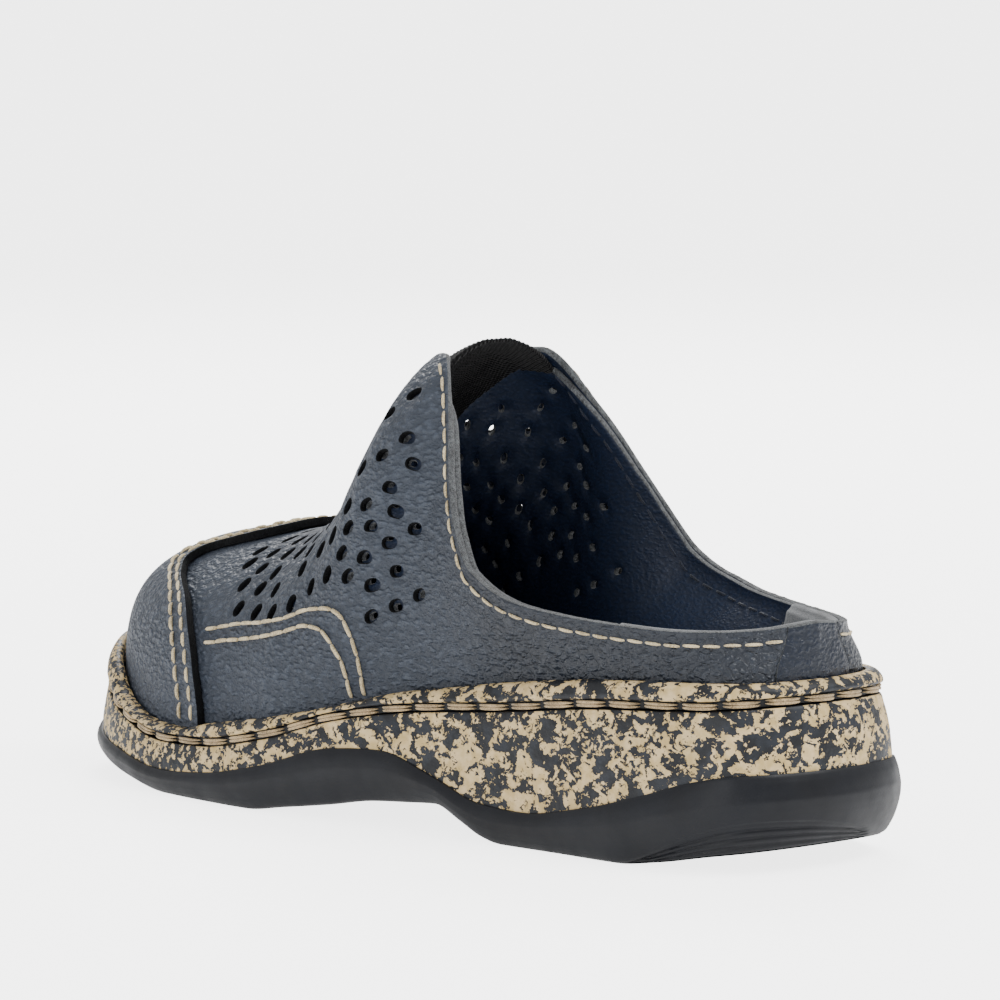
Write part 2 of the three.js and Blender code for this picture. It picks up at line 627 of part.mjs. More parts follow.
// Pieces that wrap round the heel, from one side over the centre back to the other.
function heelWrap(stations, outside, inside, rises) {
  const round = [
    ...stations.map((station) => [OUTER, station]),
    ...stations.slice(0, -1).reverse().map((station) => [INNER, station]),
  ];
  const grid = (depth) =>
    round.map(([side, station]) => rises.map((rise) => below(side, station, rise, depth)));
  const skin = new Skin();
  addShell(skin, grid(outside), grid(inside));
  return skin.geometry();
}
const strip = HEEL_STATIONS.slice(HEEL_STEPS).map((station, i) => (i ? station : station + STRIP_SETBACK));
const backStrip = () => heelWrap(strip, 0, LEATHER, RISES);
const heelCounter = () =>
  heelWrap(COUNTER_STATIONS, UNDER_LEATHER, UNDER_LEATHER + STIFFENER, RISES.slice(0, -2));
const heelGrip = () => heelWrap(COUNTER_STATIONS, GRIP_DEPTH, GRIP_FACE, [...RISES.slice(0, -1), GRIP_TOP]);

// ---- Threads ----

function thread(points, diameter) {
  const path = new THREE.CatmullRomCurve3(points, false, "centripetal");
  const section = new THREE.Shape(
    steps(THREAD_SIDES - 1, 0, 2 * Math.PI * (1 - 1 / THREAD_SIDES)).map(
      (angle) => new THREE.Vector2(Math.cos(angle), Math.sin(angle)).multiplyScalar(diameter / 2),
    ),
  );
  return new THREE.ExtrudeGeometry(section, {
    steps: points.length * 2,
    extrudePath: path,
    bevelEnabled: false,
  });
}
const FACET_SLACK = 0.15; // a thread stands this much higher, to clear the facets under it
const onTop = (extra = 0) => -(THREAD / 2 + CLEARANCE + FACET_SLACK + extra);

// Stitch line that runs `forward` of the cap's edge, from one side over the ridge to the other.
function capThread(forward) {
  const rises = steps(12, 0.16, 1);
  const depth = onTop(CLEARANCE + TOE_CAP_LEATHER);
  const half = (side) => rises.map((rise) => below(side, capStation(rise, forward), rise, depth));
  return thread([...half(OUTER), ...half(INNER).slice(0, -1).reverse()], THREAD);
}

// Stitch line below the topline, from the throat corner to the back strip.
function collarThread(side) {
  const stations = steps(22, throatCorner + 0.004, backSeam - 0.004);
  const points = stations.map((station) => {
    const height = surface(side, station, 1).distanceTo(surface(side, station, 0.95)) / 0.05;
    return below(side, station, 1 - COLLAR_SEAM_DROP / height, onTop());
  });
  return thread(points, THREAD);
}

// Two stitch lines on each side, back from the cap's edge and down to the rand, as [run, rise].
const SIDE_SEAMS = {
  upper: [[71, 0.405], [78, 0.405], [89, 0.39], [102, 0.36], [112, 0.34], [119, 0.33], [124, 0.29], [127, 0.24],
    [129.5, 0.17]],
  lower: [[72, 0.36], [78, 0.358], [88, 0.35], [98, 0.335], [108, 0.315], [114, 0.295], [119, 0.26],
    [122, 0.23], [125.5, 0.17]],
};
function sideThread(side, seam) {
  return thread(
    SIDE_SEAMS[seam].map(([run, rise]) => below(side, stationAt(run * RUN), rise, onTop())),
    THREAD,
  );
}

// ---- The shoe ----

const group = new THREE.Group();

const LOOKS = {
  rubber: { color: 0x2b2e35, roughness: 0.45 },
  mottled: { color: 0x8d8474, roughness: 0.7 },
  leather: { color: 0x3f4858, roughness: 0.55 },
  lining: { color: 0x1c2538, roughness: 0.6 },
  suede: { color: 0x77797c, roughness: 0.95 },
  elastic: { color: 0x16171a, roughness: 0.9 },
  thread: { color: 0xd9c9a3, roughness: 0.8 },
  steel: { color: 0x9a9da1, roughness: 0.35, metalness: 1 },
  board: { color: 0x9b8360, roughness: 0.9 },
  foam: { color: 0xc9c4b8, roughness: 0.95 },
  stiffener: { color: 0xb9ad97, roughness: 0.85 },
};

function addPiece(name, shape, look) {
  const geometry = shape.isBufferGeometry ? shape : geometryOf(shape);
  const mesh = new THREE.Mesh(geometry, new THREE.MeshStandardMaterial(LOOKS[look]));
  mesh.name = name;
  group.add(mesh);
}

addPiece("outsole", outsole(), "rubber");
addPiece("forefoot_tread_pad", padGeometry(FOREFOOT_PAD, 0, 0, PAD_THICKNESS), "rubber");
addPiece("heel_tread_pad", padGeometry(HEEL_PAD, 0, 0, PAD_THICKNESS), "rubber");
addPiece("midsole", midsole(), "mottled");
addPiece("shank", shankShape(0), "steel");
addPiece("rand", rand(), "mottled");
addPiece("rand_thread", randThread(), "thread");
addPiece("insole_board", slab(boardBottom, (run) => boardBottom(run) + BOARD), "board");
addPiece("footbed_foam", slab(foamBottom, foamTop), "foam");
addPiece("footbed_cover", slab(coverBottom, coverTop), "lining");
addPiece("toe_cap", toeCap(), "leather");
addPiece("toe_puff", toePuff(), "stiffener");
addPiece("toe_lining", toeLining(), "lining");
addPiece("vamp", vamp(), "leather");
addPiece("elastic_gore", elasticGore(), "elastic");
addPiece("outer_side_lining", sideLining(OUTER), "lining");
addPiece("inner_side_lining", sideLining(INNER), "lining");
addPiece("back_strip", backStrip(), "leather");
addPiece("heel_counter", heelCounter(), "stiffener");
addPiece("heel_grip", heelGrip(), "suede");
addPiece("cap_thread_rear", capThread(CAP_SEAM_NEAR), "thread");
addPiece("cap_thread_front", capThread(CAP_SEAM_FAR), "thread");
addPiece("outer_collar_thread", collarThread(OUTER), "thread");
addPiece("inner_collar_thread", collarThread(INNER), "thread");
for (const [name, side] of [["outer", OUTER], ["inner", INNER]]) {
  addPiece(`${name}_side_thread_upper`, sideThread(side, "upper"), "thread");
  addPiece(`${name}_side_thread_lower`, sideThread(side, "lower"), "thread");
}

export default group;
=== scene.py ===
import math
import random

import bmesh
import bpy
import numpy as np
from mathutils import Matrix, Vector, noise
from mathutils.geometry import delaunay_2d_cdt


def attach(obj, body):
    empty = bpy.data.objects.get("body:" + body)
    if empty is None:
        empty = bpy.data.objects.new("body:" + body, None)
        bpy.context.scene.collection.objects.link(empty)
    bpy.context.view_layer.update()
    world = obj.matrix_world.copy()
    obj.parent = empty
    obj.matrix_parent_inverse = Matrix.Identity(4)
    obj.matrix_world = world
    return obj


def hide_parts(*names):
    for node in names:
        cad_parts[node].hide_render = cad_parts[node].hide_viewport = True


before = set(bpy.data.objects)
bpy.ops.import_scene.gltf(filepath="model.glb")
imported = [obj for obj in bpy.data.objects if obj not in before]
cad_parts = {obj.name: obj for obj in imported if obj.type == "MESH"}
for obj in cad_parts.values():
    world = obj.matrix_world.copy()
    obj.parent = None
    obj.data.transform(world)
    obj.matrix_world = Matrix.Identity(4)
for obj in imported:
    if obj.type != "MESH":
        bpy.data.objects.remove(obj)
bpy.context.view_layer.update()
random.seed(7)

# Lengths below are millimetres in the row frame; meshes are made in metres.
MM = 0.001
OUTER, INNER = 1, -1
BOTH = (OUTER, INNER)

CLEARANCE = 0.3
LEATHER = 1.8
CAP_FACE = -2.1  # the toe cap lies on the vamp
LINING_GAP = 0.05  # between the leather and the linings' outer faces
LINING_FACE = 3.5
GRIP_FACE = 5.1
ELASTIC_FACE = 2.4
UPPER_INSET = 3.4
BURIED = 0.15
CAP_OVERLAP = 9
GORE_POINT, THROAT_CORNER = 104, 122
GRIP_START = 208
BACK_STRIP_WIDTH = 26
OUTSOLE_BULGE = 4.2  # outsole's widest line, out from the rand's edge
HEEL_FLARE = 1.4  # extra reach of the soles at the heel
UP = np.array([0, 0, 1.0])


# ---- The shoe's own curves ----

def mix(a, b, t):
    return a + (b - a) * t


def smoothstep(low, high, value):
    t = np.clip((value - low) / (high - low), 0, 1)
    return t * t * (3 - 2 * t)


def curve(pairs):
    """Smooth curve through [place, value] pairs that never overshoots them."""
    x, y = np.array(pairs, float).T
    slope = np.diff(y) / np.diff(x)
    tangent = np.concatenate([slope[:1], np.zeros(len(slope) - 1), slope[-1:]])
    for i in range(1, len(slope)):
        a, b = slope[i - 1], slope[i]
        tangent[i] = 0 if a * b <= 0 else 2 * a * b / (a + b)

    def at(value):
        v = np.clip(value, x[0], x[-1])
        i = np.clip(np.searchsorted(x, v, side="right") - 1, 0, len(slope) - 1)
        step = x[i + 1] - x[i]
        t = (v - x[i]) / step
        start = y[i] * (1 + 2 * t) * (1 - t) ** 2 + tangent[i] * step * t * (1 - t) ** 2
        return start + y[i + 1] * (3 - 2 * t) * t**2 + tangent[i + 1] * step * t**2 * (t - 1)

    return at


rand_top = curve([
    [0, 36], [12, 33.5], [24, 28.5], [36, 21.5], [50, 17.8], [66, 17], [77, 19.4], [98, 23],
    [111, 25.7], [128, 29.9], [143, 33.5], [160, 36.2], [176, 38.8], [208, 42.5], [236, 43.9], [252, 44.2],
])
groove_top = curve([
    [0, 26], [12, 23.5], [23, 20.5], [40, 16], [59, 13.1], [76, 13.7], [100, 18], [123, 24.7],
    [145, 28.7], [177, 32.1], [210, 36], [237, 37.6], [252, 39],
])
outsole_top = curve([
    [-3, 15], [16, 10.9], [37, 8.8], [61, 6.4], [79, 7.6], [101, 11.8], [124, 18.3], [139.5, 19.3],
    [156, 14.8], [172, 9.7], [185, 9], [205, 12.2], [223, 17], [236, 21.2], [246, 23.3], [255, 23.8],
])
outsole_bottom = curve([
    [-3, 10.5], [8, 7.6], [17, 5.4], [28, 3.4], [45, 1.6], [62, 0], [94, 0], [107, 1.7], [122, 3.9],
    [135, 6.1], [146, 6.9], [156, 7.5], [165, 3.9], [171, 1.2], [177, 0], [214, 0], [226, 1.4],
    [239, 3.8], [248, 5.2], [255, 6.4],
])

OUTLINE = np.array([
    [-8, 0], [13, 4], [33, 20], [45, 48], [48, 82], [45.5, 110], [39, 150], [35, 190], [32, 220], [23, 243],
    [0, 250], [-23, 243], [-31, 220], [-30.5, 195], [-29.5, 160], [-36, 125], [-43.5, 88], [-45, 58],
    [-40, 28], [-28, 8],
], float)


def outline_at(t):
    """Point and direction of the closed Catmull-Rom outline at its own parameter, 0 to 1."""
    count = len(OUTLINE)
    place = np.asarray(t, float) % 1 * count
    i = np.floor(place).astype(int) % count
    w = (place - np.floor(place))[..., None]
    a, b, c, d = (OUTLINE[(i + k) % count] for k in (-1, 0, 1, 2))
    m0, m1 = (c - a) / 2, (d - b) / 2
    c2 = -3 * b + 3 * c - 2 * m0 - m1
    c3 = 2 * b - 2 * c + m0 + m1
    return b + m0 * w + c2 * w**2 + c3 * w**3, m0 + 2 * c2 * w + 3 * c3 * w**2


ARC_STEPS = np.linspace(0, 1, 801)
ARC_POINTS = outline_at(ARC_STEPS)[0]
ARC = np.concatenate([[0], np.cumsum(np.linalg.norm(np.diff(ARC_POINTS, axis=0), axis=1))])
ARC_LENGTH = ARC[-1]


def around(u):
    return outline_at(np.interp(np.asarray(u) % 1 * ARC_LENGTH, ARC, ARC_STEPS))


def end_of_outline(sign, near):
    u = near + np.arange(-60, 61) / 1200
    return u[np.argmax(sign * around(u)[0][:, 1])]


U_TIP, U_HEEL = end_of_outline(-1, 0), end_of_outline(1, 0.5)


def edge(side, station, out=0.0):
    """x and run of the rand's outline at a station from 0, the toe, to 1, the heel, moved outwards."""
    u = np.where(side > 0, U_TIP + station * (U_HEEL - U_TIP), U_TIP - station * (1 - U_HEEL + U_TIP))
    point, tangent = around(u)
    tangent = tangent / np.linalg.norm(tangent, axis=-1, keepdims=True)
    return point[..., 0] + tangent[..., 1] * out, point[..., 1] - tangent[..., 0] * out


def station_at(run):
    low, high = np.zeros(np.shape(run)), np.ones(np.shape(run))
    for _ in range(30):
        middle = (low + high) / 2
        behind = edge(OUTER, middle)[1] < run
        low, high = np.where(behind, middle, low), np.where(behind, high, middle)
    return (low + high) / 2


ENDS = np.linspace(0, 1, 201)
BULGE_X, BULGE_RUN = edge(OUTER, ENDS, OUTSOLE_BULGE)
MIDDLE_X = (BULGE_X.max() + edge(INNER, ENDS, OUTSOLE_BULGE)[0].min()) / 2
MIDDLE_RUN = (BULGE_RUN.min() + BULGE_RUN.max() + 1.5 * HEEL_FLARE) / 2

# The ridge and the topline, as [run of the rib's foot, half width, run, height].
TOP_EDGE = [
    [0, 0, 22, 51], [14, 0, 28, 54.8], [30, 0, 39, 59.6], [50, 0, 54, 62.8], [70, 0, 73, 66],
    [79, 0, 82.5, 68.8], [85, 0, 89.5, 72.2], [91, 0, 96.5, 77.2], [98, 0, 104, 86],
    [GORE_POINT, 0, 109.5, 96], [110, 6.5, 116, 106], [116, 12, 124.5, 113], [THROAT_CORNER, 16, 132.4, 114],
    [132, 25.2, 144.2, 99.3], [141, 31.8, 152.1, 84.5], [149, 35.5, 158.2, 74.4], [158, 37.8, 166, 65],
    [172, 38, 178.4, 59.5], [190, 35.2, 193, 56.8], [207, 31.5, 209, 55.5], [224, 26.8, 224.8, 54.9],
    [235, 22.4, 232.5, 55], [243, 16.6, 239.2, 55.4], [247.5, 9.5, 244, 56.1], [250, 0, 246.2, 57],
]
top_half, top_run, top_height = (
    curve([[float(station_at(row[0])), row[k]] for row in TOP_EDGE]) for k in (1, 2, 3)
)
top_lean = curve([
    [float(station_at(run)), math.radians(degrees)]
    for run, degrees in [[0, 0], [GORE_POINT, 0], [110, 10], [116, 22], [THROAT_CORNER, 40], [132, 66],
                         [145, 80], [160, 88], [252, 88]]
])
full_foot = curve([[0, 0.62], [0.3, 0.6], [0.45, 0.45], [0.6, 0.36], [1, 0.34]])
full_top = curve([[0, 0.5], [0.3, 0.6], [0.45, 0.5], [0.6, 0.36], [1, 0.34]])
CAP_FULL, CAP_NONE = station_at(80), station_at(98)
GORE_STATION, THROAT_STATION = float(station_at(GORE_POINT)), float(station_at(THROAT_CORNER))
GRIP_STATION = float(station_at(GRIP_START))
BACK_SEAM = 1 - BACK_STRIP_WIDTH / 2 / ARC_LENGTH / (1 - U_HEEL + U_TIP)


def upper_inset(station):
    return UPPER_INSET - CAP_FACE * (1 - smoothstep(CAP_FULL, CAP_NONE, station))


def surface(side, station, rise):
    """Outer face of the upper: rise is 0 inside the rand and 1 at the ridge or the topline."""
    side, station, rise = np.broadcast_arrays(side, station, rise)
    inset = upper_inset(station)
    x, run = edge(side, station, -inset)
    x_out, run_out = edge(side, station, 1 - inset)
    foot = rand_top(run) + CLEARANCE
    p0 = np.stack([x, run, foot], -1)
    p3 = np.stack([side * top_half(station), top_run(station), top_height(station)], -1)
    out = np.stack([x_out - x, run_out - run, np.zeros_like(x)], -1)
    span = np.linalg.norm((p3 - p0)[..., :2], axis=-1)
    rib = np.linalg.norm(p3 - p0, axis=-1)
    lean = top_lean(station)
    p1 = p0 + (full_foot(station) * mix(p3[..., 2] - foot, rib, 0.35))[..., None] * UP
    from_top = out * np.cos(lean)[..., None] - np.sin(lean)[..., None] * UP
    p2 = p3 + from_top * (full_top(station) * mix(span, rib, np.sin(lean)))[..., None]
    t = np.clip((rise - BURIED) / (1 - BURIED), 0, 1)[..., None]
    point = (1 - t) ** 3 * p0 + 3 * t * (1 - t) ** 2 * p1 + 3 * t**2 * (1 - t) * p2 + t**3 * p3
    seat = groove_top(run) + 2 * CLEARANCE
    buried_z = mix(seat, foot, rise / BURIED)
    point[..., 2] = np.where(rise < BURIED, buried_z, point[..., 2])
    return point - np.array([MIDDLE_X, MIDDLE_RUN, 0])


def facing(side, station, rise):
    """Outward direction of the upper's face."""
    side, station, rise = np.broadcast_arrays(side, station, rise)
    small = 1e-3
    before = np.where(
        (station < small)[..., None],
        surface(-side, small - station, rise),
        surface(side, np.maximum(station - small, 0), rise),
    )
    lengthwise = surface(side, np.minimum(station + small, 1), rise) - before
    above = surface(side, station, np.minimum(rise + small, 1))
    upwards = above - surface(side, station, np.maximum(rise - small, 0))
    ridge = ((rise > 0.999) & (top_half(station) < 0.01))[..., None]
    upwards = np.where(ridge, -side[..., None] * np.array([1.0, 0, 0]), upwards)
    normal = np.cross(lengthwise, upwards) * side[..., None]
    return normal / np.maximum(np.linalg.norm(normal, axis=-1, keepdims=True), 1e-9)


def below(side, station, rise, depth):
    """Points at a depth under the upper's face; a negative depth stands proud of it."""
    return surface(side, station, rise) - facing(side, station, rise) * np.asarray(depth)[..., None]


cap_edge = curve([
    [0, 70], [BURIED, 70], [0.3, 65], [0.42, 58], [0.5, 52], [0.6, 41], [0.66, 37], [0.72, 39], [0.82, 56],
    [0.9, 64], [1, 65],
])


def cap_station(rise, forward=0.0):
    """Station of the toe cap's raw edge, or of a line a way in front of it."""
    return station_at(cap_edge(rise) - forward)


# ---- Mesh helpers ----

class Build:
    """Collects points, in millimetres, and faces with a material number."""

    def __init__(self):
        self.points, self.faces, self.marks, self.count = [], [], [], 0

    def add(self, points):
        points = np.asarray(points, float).reshape(-1, 3)
        self.points.append(points)
        self.count += len(points)
        return np.arange(self.count - len(points), self.count)

    def face(self, corners, mark=0):
        self.faces.append(tuple(int(c) for c in corners))
        self.marks.append(mark)

    def sheet(self, grid, closed=False, mark=0):
        rows = [*grid, grid[0]] if closed else grid
        for a, b in zip(rows[:-1], rows[1:]):
            for j in range(len(a) - 1):
                self.face((a[j], b[j], b[j + 1], a[j + 1]), mark)

    def mesh(self, name, materials, weld=0.02, sharp=None):
        mesh = bpy.data.meshes.new(name)
        mesh.from_pydata((np.concatenate(self.points) * MM).tolist(), [], self.faces)
        for material in materials:
            mesh.materials.append(material)
        mesh.polygons.foreach_set("material_index", self.marks)
        bm = bmesh.new()
        bm.from_mesh(mesh)
        bmesh.ops.remove_doubles(bm, verts=bm.verts, dist=weld * MM)
        bmesh.ops.recalc_face_normals(bm, faces=bm.faces)
        bm.to_mesh(mesh)
        bm.free()
        mesh.polygons.foreach_set("use_smooth", [True] * len(mesh.polygons))
        if sharp:
            mesh.set_sharp_from_angle(angle=math.radians(sharp))
        return mesh


def piece(name, mesh, slot, *nodes):
    """Adds an object that rides on the shoe and stands for the named CAD nodes."""
    obj = bpy.data.objects.new(name, mesh)
    bpy.context.scene.collection.objects.link(obj)
    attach(obj, "root")
    if nodes:
        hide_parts(*nodes)
    return obj


def grain(points, scale, seed=0.0):
    """Smooth noise, about -1 to 1, at points in millimetres, with waves of about `scale`."""
    shift = Vector((seed, -seed, 2 * seed))
    return np.array([noise.noise(Vector(p) / scale + shift) for p in np.asarray(points).reshape(-1, 3)])


# ---- Materials ----

def rgb(code):
    """Linear colour of a #rrggbb code."""
    parts = [int(code[i:i + 2], 16) / 255 for i in (1, 3, 5)]
    return (*[p / 12.92 if p <= 0.04045 else ((p + 0.055) / 1.055) ** 2.4 for p in parts], 1.0)


class Look:
    """A node material, with short calls for the nodes used here. Coordinates are in millimetres."""

    def __init__(self, name):
        self.material = bpy.data.materials.new(name)
        self.material.use_nodes = True
        self.tree = self.material.node_tree
        self.shader = self.tree.nodes["Principled BSDF"]
        coordinates = self.node("ShaderNodeTexCoord").outputs["Object"]
        self.place = self.vector("MULTIPLY", coordinates, (1000, 1000, 1000))

    def node(self, kind, inputs=None, **settings):
        made = self.tree.nodes.new(kind)
        for key, value in settings.items():
            setattr(made, key, value)
        for key, value in (inputs or {}).items():
            self.put(made.inputs[key], value)
        return made

    def put(self, socket, value):
        """Links a socket, or sets it to a number, a vector or a #rrggbb colour."""
        if isinstance(value, bpy.types.NodeSocket):
            self.tree.links.new(value, socket)
        else:
            socket.default_value = rgb(value) if isinstance(value, str) else value

    def vector(self, operation, a, b):
        return self.node("ShaderNodeVectorMath", {0: a, 1: b}, operation=operation).outputs[0]

    def math(self, operation, a, b):
        return self.node("ShaderNodeMath", {0: a, 1: b}, operation=operation).outputs[0]

    def weighed(self, a, share, b):
        """Average of two values in which the first has the given share."""
        rest = round(1 - share, 4)
        return self.math("ADD", self.math("MULTIPLY", a, share), self.math("MULTIPLY", b, rest))

    def noise(self, size, detail=3.0, roughness=0.5, at=None, distortion=0.0):
        inputs = {"Vector": at or self.place, "Scale": 1 / size, "Detail": detail, "Roughness": roughness,
                  "Distortion": distortion}
        return self.node("ShaderNodeTexNoise", inputs).outputs["Fac"]

    def cells(self, size, at=None, feature="DISTANCE_TO_EDGE"):
        inputs = {"Vector": at or self.place, "Scale": 1 / size}
        return self.node("ShaderNodeTexVoronoi", inputs, feature=feature).outputs["Distance"]

    def warped(self, size, amount):
        """The coordinates, shifted by up to about half the amount."""
        wobble = self.node("ShaderNodeTexNoise", {"Vector": self.place, "Scale": 1 / size}).outputs["Color"]
        centred = self.vector("SUBTRACT", wobble, (0.5, 0.5, 0.5))
        return self.vector("ADD", self.place, self.vector("MULTIPLY", centred, (amount,) * 3))

    def ramp(self, value, low, high, to_low=0.0, to_high=1.0, smooth=True):
        inputs = {"Value": value, "From Min": low, "From Max": high, "To Min": to_low, "To Max": to_high}
        kind = "SMOOTHSTEP" if smooth else "LINEAR"
        return self.node("ShaderNodeMapRange", inputs, interpolation_type=kind).outputs["Result"]

    def blend(self, share, a, b):
        made = self.node("ShaderNodeMix", data_type="RGBA")
        for index, value in ((0, share), (6, a), (7, b)):
            self.put(made.inputs[index], value)
        return made.outputs[2]

    def bump(self, height, distance, normal=None):
        inputs = {"Height": height, "Distance": distance * MM}
        if normal:
            inputs["Normal"] = normal
        return self.node("ShaderNodeBump", inputs).outputs["Normal"]

    def finish(self, color, roughness, normal=None, **constants):
        self.put(self.shader.inputs["Base Color"], color)
        self.put(self.shader.inputs["Roughness"], roughness)
        if normal:
            self.put(self.shader.inputs["Normal"], normal)
        for key, value in constants.items():
            self.shader.inputs[key.replace("_", " ")].default_value = value
        return self.material


def leather_look(name, dark, light, pebble, depth, roughness, creases=0.0, heel_gloss_and_shade=0.0):
    """Pebbled leather, with painted shade between its pebbles. Towards the heel it may turn smoother and
    glossier, and darker, which is painted shade.
    """
    look = Look(name)
    at = look.vector("MULTIPLY", look.warped(2.2, 1.0), (1.0, 0.62, 1.15))
    domes = look.ramp(look.cells(pebble, at, "SMOOTH_F1"), 0.12, 0.62, 1.0, 0.0)
    small = look.ramp(look.cells(pebble * 0.5, at, "SMOOTH_F1"), 0.1, 0.6, 1.0, 0.0)
    height = look.math("ADD", domes, look.math("MULTIPLY", small, 0.35))
    height = look.math("ADD", height, look.math("MULTIPLY", look.noise(0.4), 0.2))
    where = look.node("ShaderNodeSeparateXYZ", {0: look.place})
    # Mask towards the heel: flatter pebbles, creases, more gloss, and painted shade in the colour.
    heel = look.math("MULTIPLY", look.ramp(where.outputs["Y"], 0, 68), heel_gloss_and_shade)
    height = look.math("MULTIPLY", height, look.ramp(heel, 0, 1, 1.0, 0.6))
    normal = look.bump(height, depth)
    if creases:
        folds = look.cells(3.4, look.warped(3.5, 2.6))
        folds = look.math("MULTIPLY", look.ramp(folds, 0.0, 0.09, 1.0, 0.0), look.ramp(heel, 0.15, 0.8))
        normal = look.bump(look.math("SUBTRACT", 1.0, folds), creases, normal)
    normal = look.bump(look.noise(14, 2), 0.35, normal)
    patch = look.ramp(look.noise(30, 2), 0.3, 0.7)
    # Painted shade: the colour is lighter on the pebbles' domes and darker in the hollows between them. The
    # patches are tone that differs at random.
    tone = look.math("ADD", look.math("MULTIPLY", domes, 0.34), look.math("MULTIPLY", patch, 0.12))
    tone = look.math("ADD", tone, 0.42)
    # Painted shade: the colour darkens towards the heel.
    tone = look.math("MULTIPLY", tone, look.ramp(heel, 0, 1, 1.0, 0.42))
    rough = look.ramp(look.math("ADD", height, look.noise(1.4)), 0.6, 2.1, roughness + 0.1, roughness - 0.05)
    rough = look.math("SUBTRACT", rough, look.math("MULTIPLY", heel, 0.2))
    return look.finish(look.blend(tone, dark, light), rough, normal, Specular_IOR_Level=0.42)


def raw_edge_look(name, dark, light, sheen=0.35):
    """Fibres of cut leather."""
    look = Look(name)
    fibres = look.noise(0.45, 5, 0.75, at=look.vector("MULTIPLY", look.place, (1, 1, 0.6)))
    clumps = look.noise(2.2, 3)
    tone = look.ramp(look.weighed(fibres, 0.75, clumps), 0.38, 0.64)
    return look.finish(look.blend(tone, dark, light), 0.95, look.bump(fibres, 0.5),
                       Sheen_Weight=sheen, Sheen_Roughness=0.6, Specular_IOR_Level=0.12)


def mottled_look(name, cream, charcoal):
    """Charcoal rubber with cream flakes, larger and denser towards the heel."""
    look = Look(name)
    at = look.vector("MULTIPLY", look.warped(1.5, 1.0), (1.0, 0.85, 1.15))
    large = look.noise(3.9, 4, 0.6, at=at, distortion=0.6)
    fine = look.noise(1.4, 3, 0.6, at=at, distortion=0.4)
    where = look.node("ShaderNodeSeparateXYZ", {0: look.place})
    heel = look.ramp(where.outputs["Y"], -110, -10)
    field = look.math("ADD", look.math("MULTIPLY", large, look.ramp(heel, 0, 1, 0.32, 0.66)),
                      look.math("MULTIPLY", fine, look.ramp(heel, 0, 1, 0.68, 0.34)))
    spread = look.ramp(field, 0.498, 0.514)
    specks = look.ramp(look.noise(0.7, 2), 0.33, 0.42)
    share = look.math("MULTIPLY", spread, look.math("MAXIMUM", specks, look.ramp(field, 0.522, 0.55)))
    creams = look.blend(look.ramp(look.noise(2.6, 3), 0.3, 0.7), cream, "#d9c092")
    darks = look.blend(look.ramp(look.noise(4.5, 3), 0.4, 0.65), charcoal, "#24282f")
    normal = look.bump(look.noise(0.9, 3), 0.12)
    normal = look.bump(look.noise(5, 2), 0.5, normal)
    normal = look.bump(share, 0.14, normal)
    return look.finish(look.blend(share, darks, creams), look.ramp(share, 0, 1, 0.46, 0.62), normal,
                       Specular_IOR_Level=0.35)


def rubber_look(name, color):
    """Satin rubber with a few pale specks."""
    look = Look(name)
    specks = look.ramp(look.cells(5.5, look.warped(2, 1), "F1"), 0.028, 0.045, 1.0, 0.0)
    rare = look.ramp(look.noise(9, 1), 0.56, 0.62)
    speck = look.math("MULTIPLY", specks, rare)
    tone = look.blend(look.ramp(look.noise(16, 4), 0.3, 0.7), color, "#0e1118")
    normal = look.bump(look.noise(0.35, 3), 0.03)
    normal = look.bump(look.noise(11, 2), 0.25, normal)
    rough = look.ramp(look.noise(7, 3), 0.3, 0.7, 0.35, 0.48)
    return look.finish(look.blend(speck, tone, "#5c5f62"), rough, normal, Specular_IOR_Level=0.3)


def thread_look(name, dark, light):
    """Spun thread."""
    look = Look(name)
    fibre = look.noise(0.28, 3, 0.7)
    patch = look.noise(5, 2)
    tone = look.ramp(look.weighed(fibre, 0.7, patch), 0.36, 0.62)
    return look.finish(look.blend(tone, dark, light), 0.62, look.bump(fibre, 0.12),
                       Sheen_Weight=0.25, Sheen_Roughness=0.5, Specular_IOR_Level=0.35)


def elastic_look(name):
    """Black knitted elastic."""
    look = Look(name)
    bands = {"Vector": look.place, "Scale": 0.62, "Distortion": 0.4, "Detail": 2.0}
    wales = look.node("ShaderNodeTexWave", bands, bands_direction="DIAGONAL").outputs["Fac"]
    knit = look.noise(0.4, 4, 0.7)
    fuzz = look.weighed(wales, 0.6, knit)
    return look.finish(look.blend(look.ramp(fuzz, 0.3, 0.8), "#020203", "#0a0a0c"), 0.9,
                       look.bump(fuzz, 0.3), Sheen_Weight=0.08, Sheen_Roughness=0.5, Specular_IOR_Level=0.15)


def suede_look(name):
    """Grey suede with strokes in its nap."""
    look = Look(name)
    nap = look.noise(0.35, 5, 0.75)
    strokes = look.noise(7, 3)
    tone = look.ramp(look.weighed(nap, 0.6, strokes), 0.36, 0.64)
    return look.finish(look.blend(tone, "#2c2f32", "#6a6d70"), 0.97, look.bump(nap, 0.3),
                       Sheen_Weight=0.5, Sheen_Roughness=0.6, Specular_IOR_Level=0.15)


def plain_look(name, dark, light, size, roughness, metallic=0.0):
    look = Look(name)
    tone = look.ramp(look.noise(size, 4, 0.6), 0.35, 0.65)
    normal = look.bump(look.noise(size / 3, 3), 0.15)
    return look.finish(look.blend(tone, dark, light), roughness, normal, Metallic=metallic)
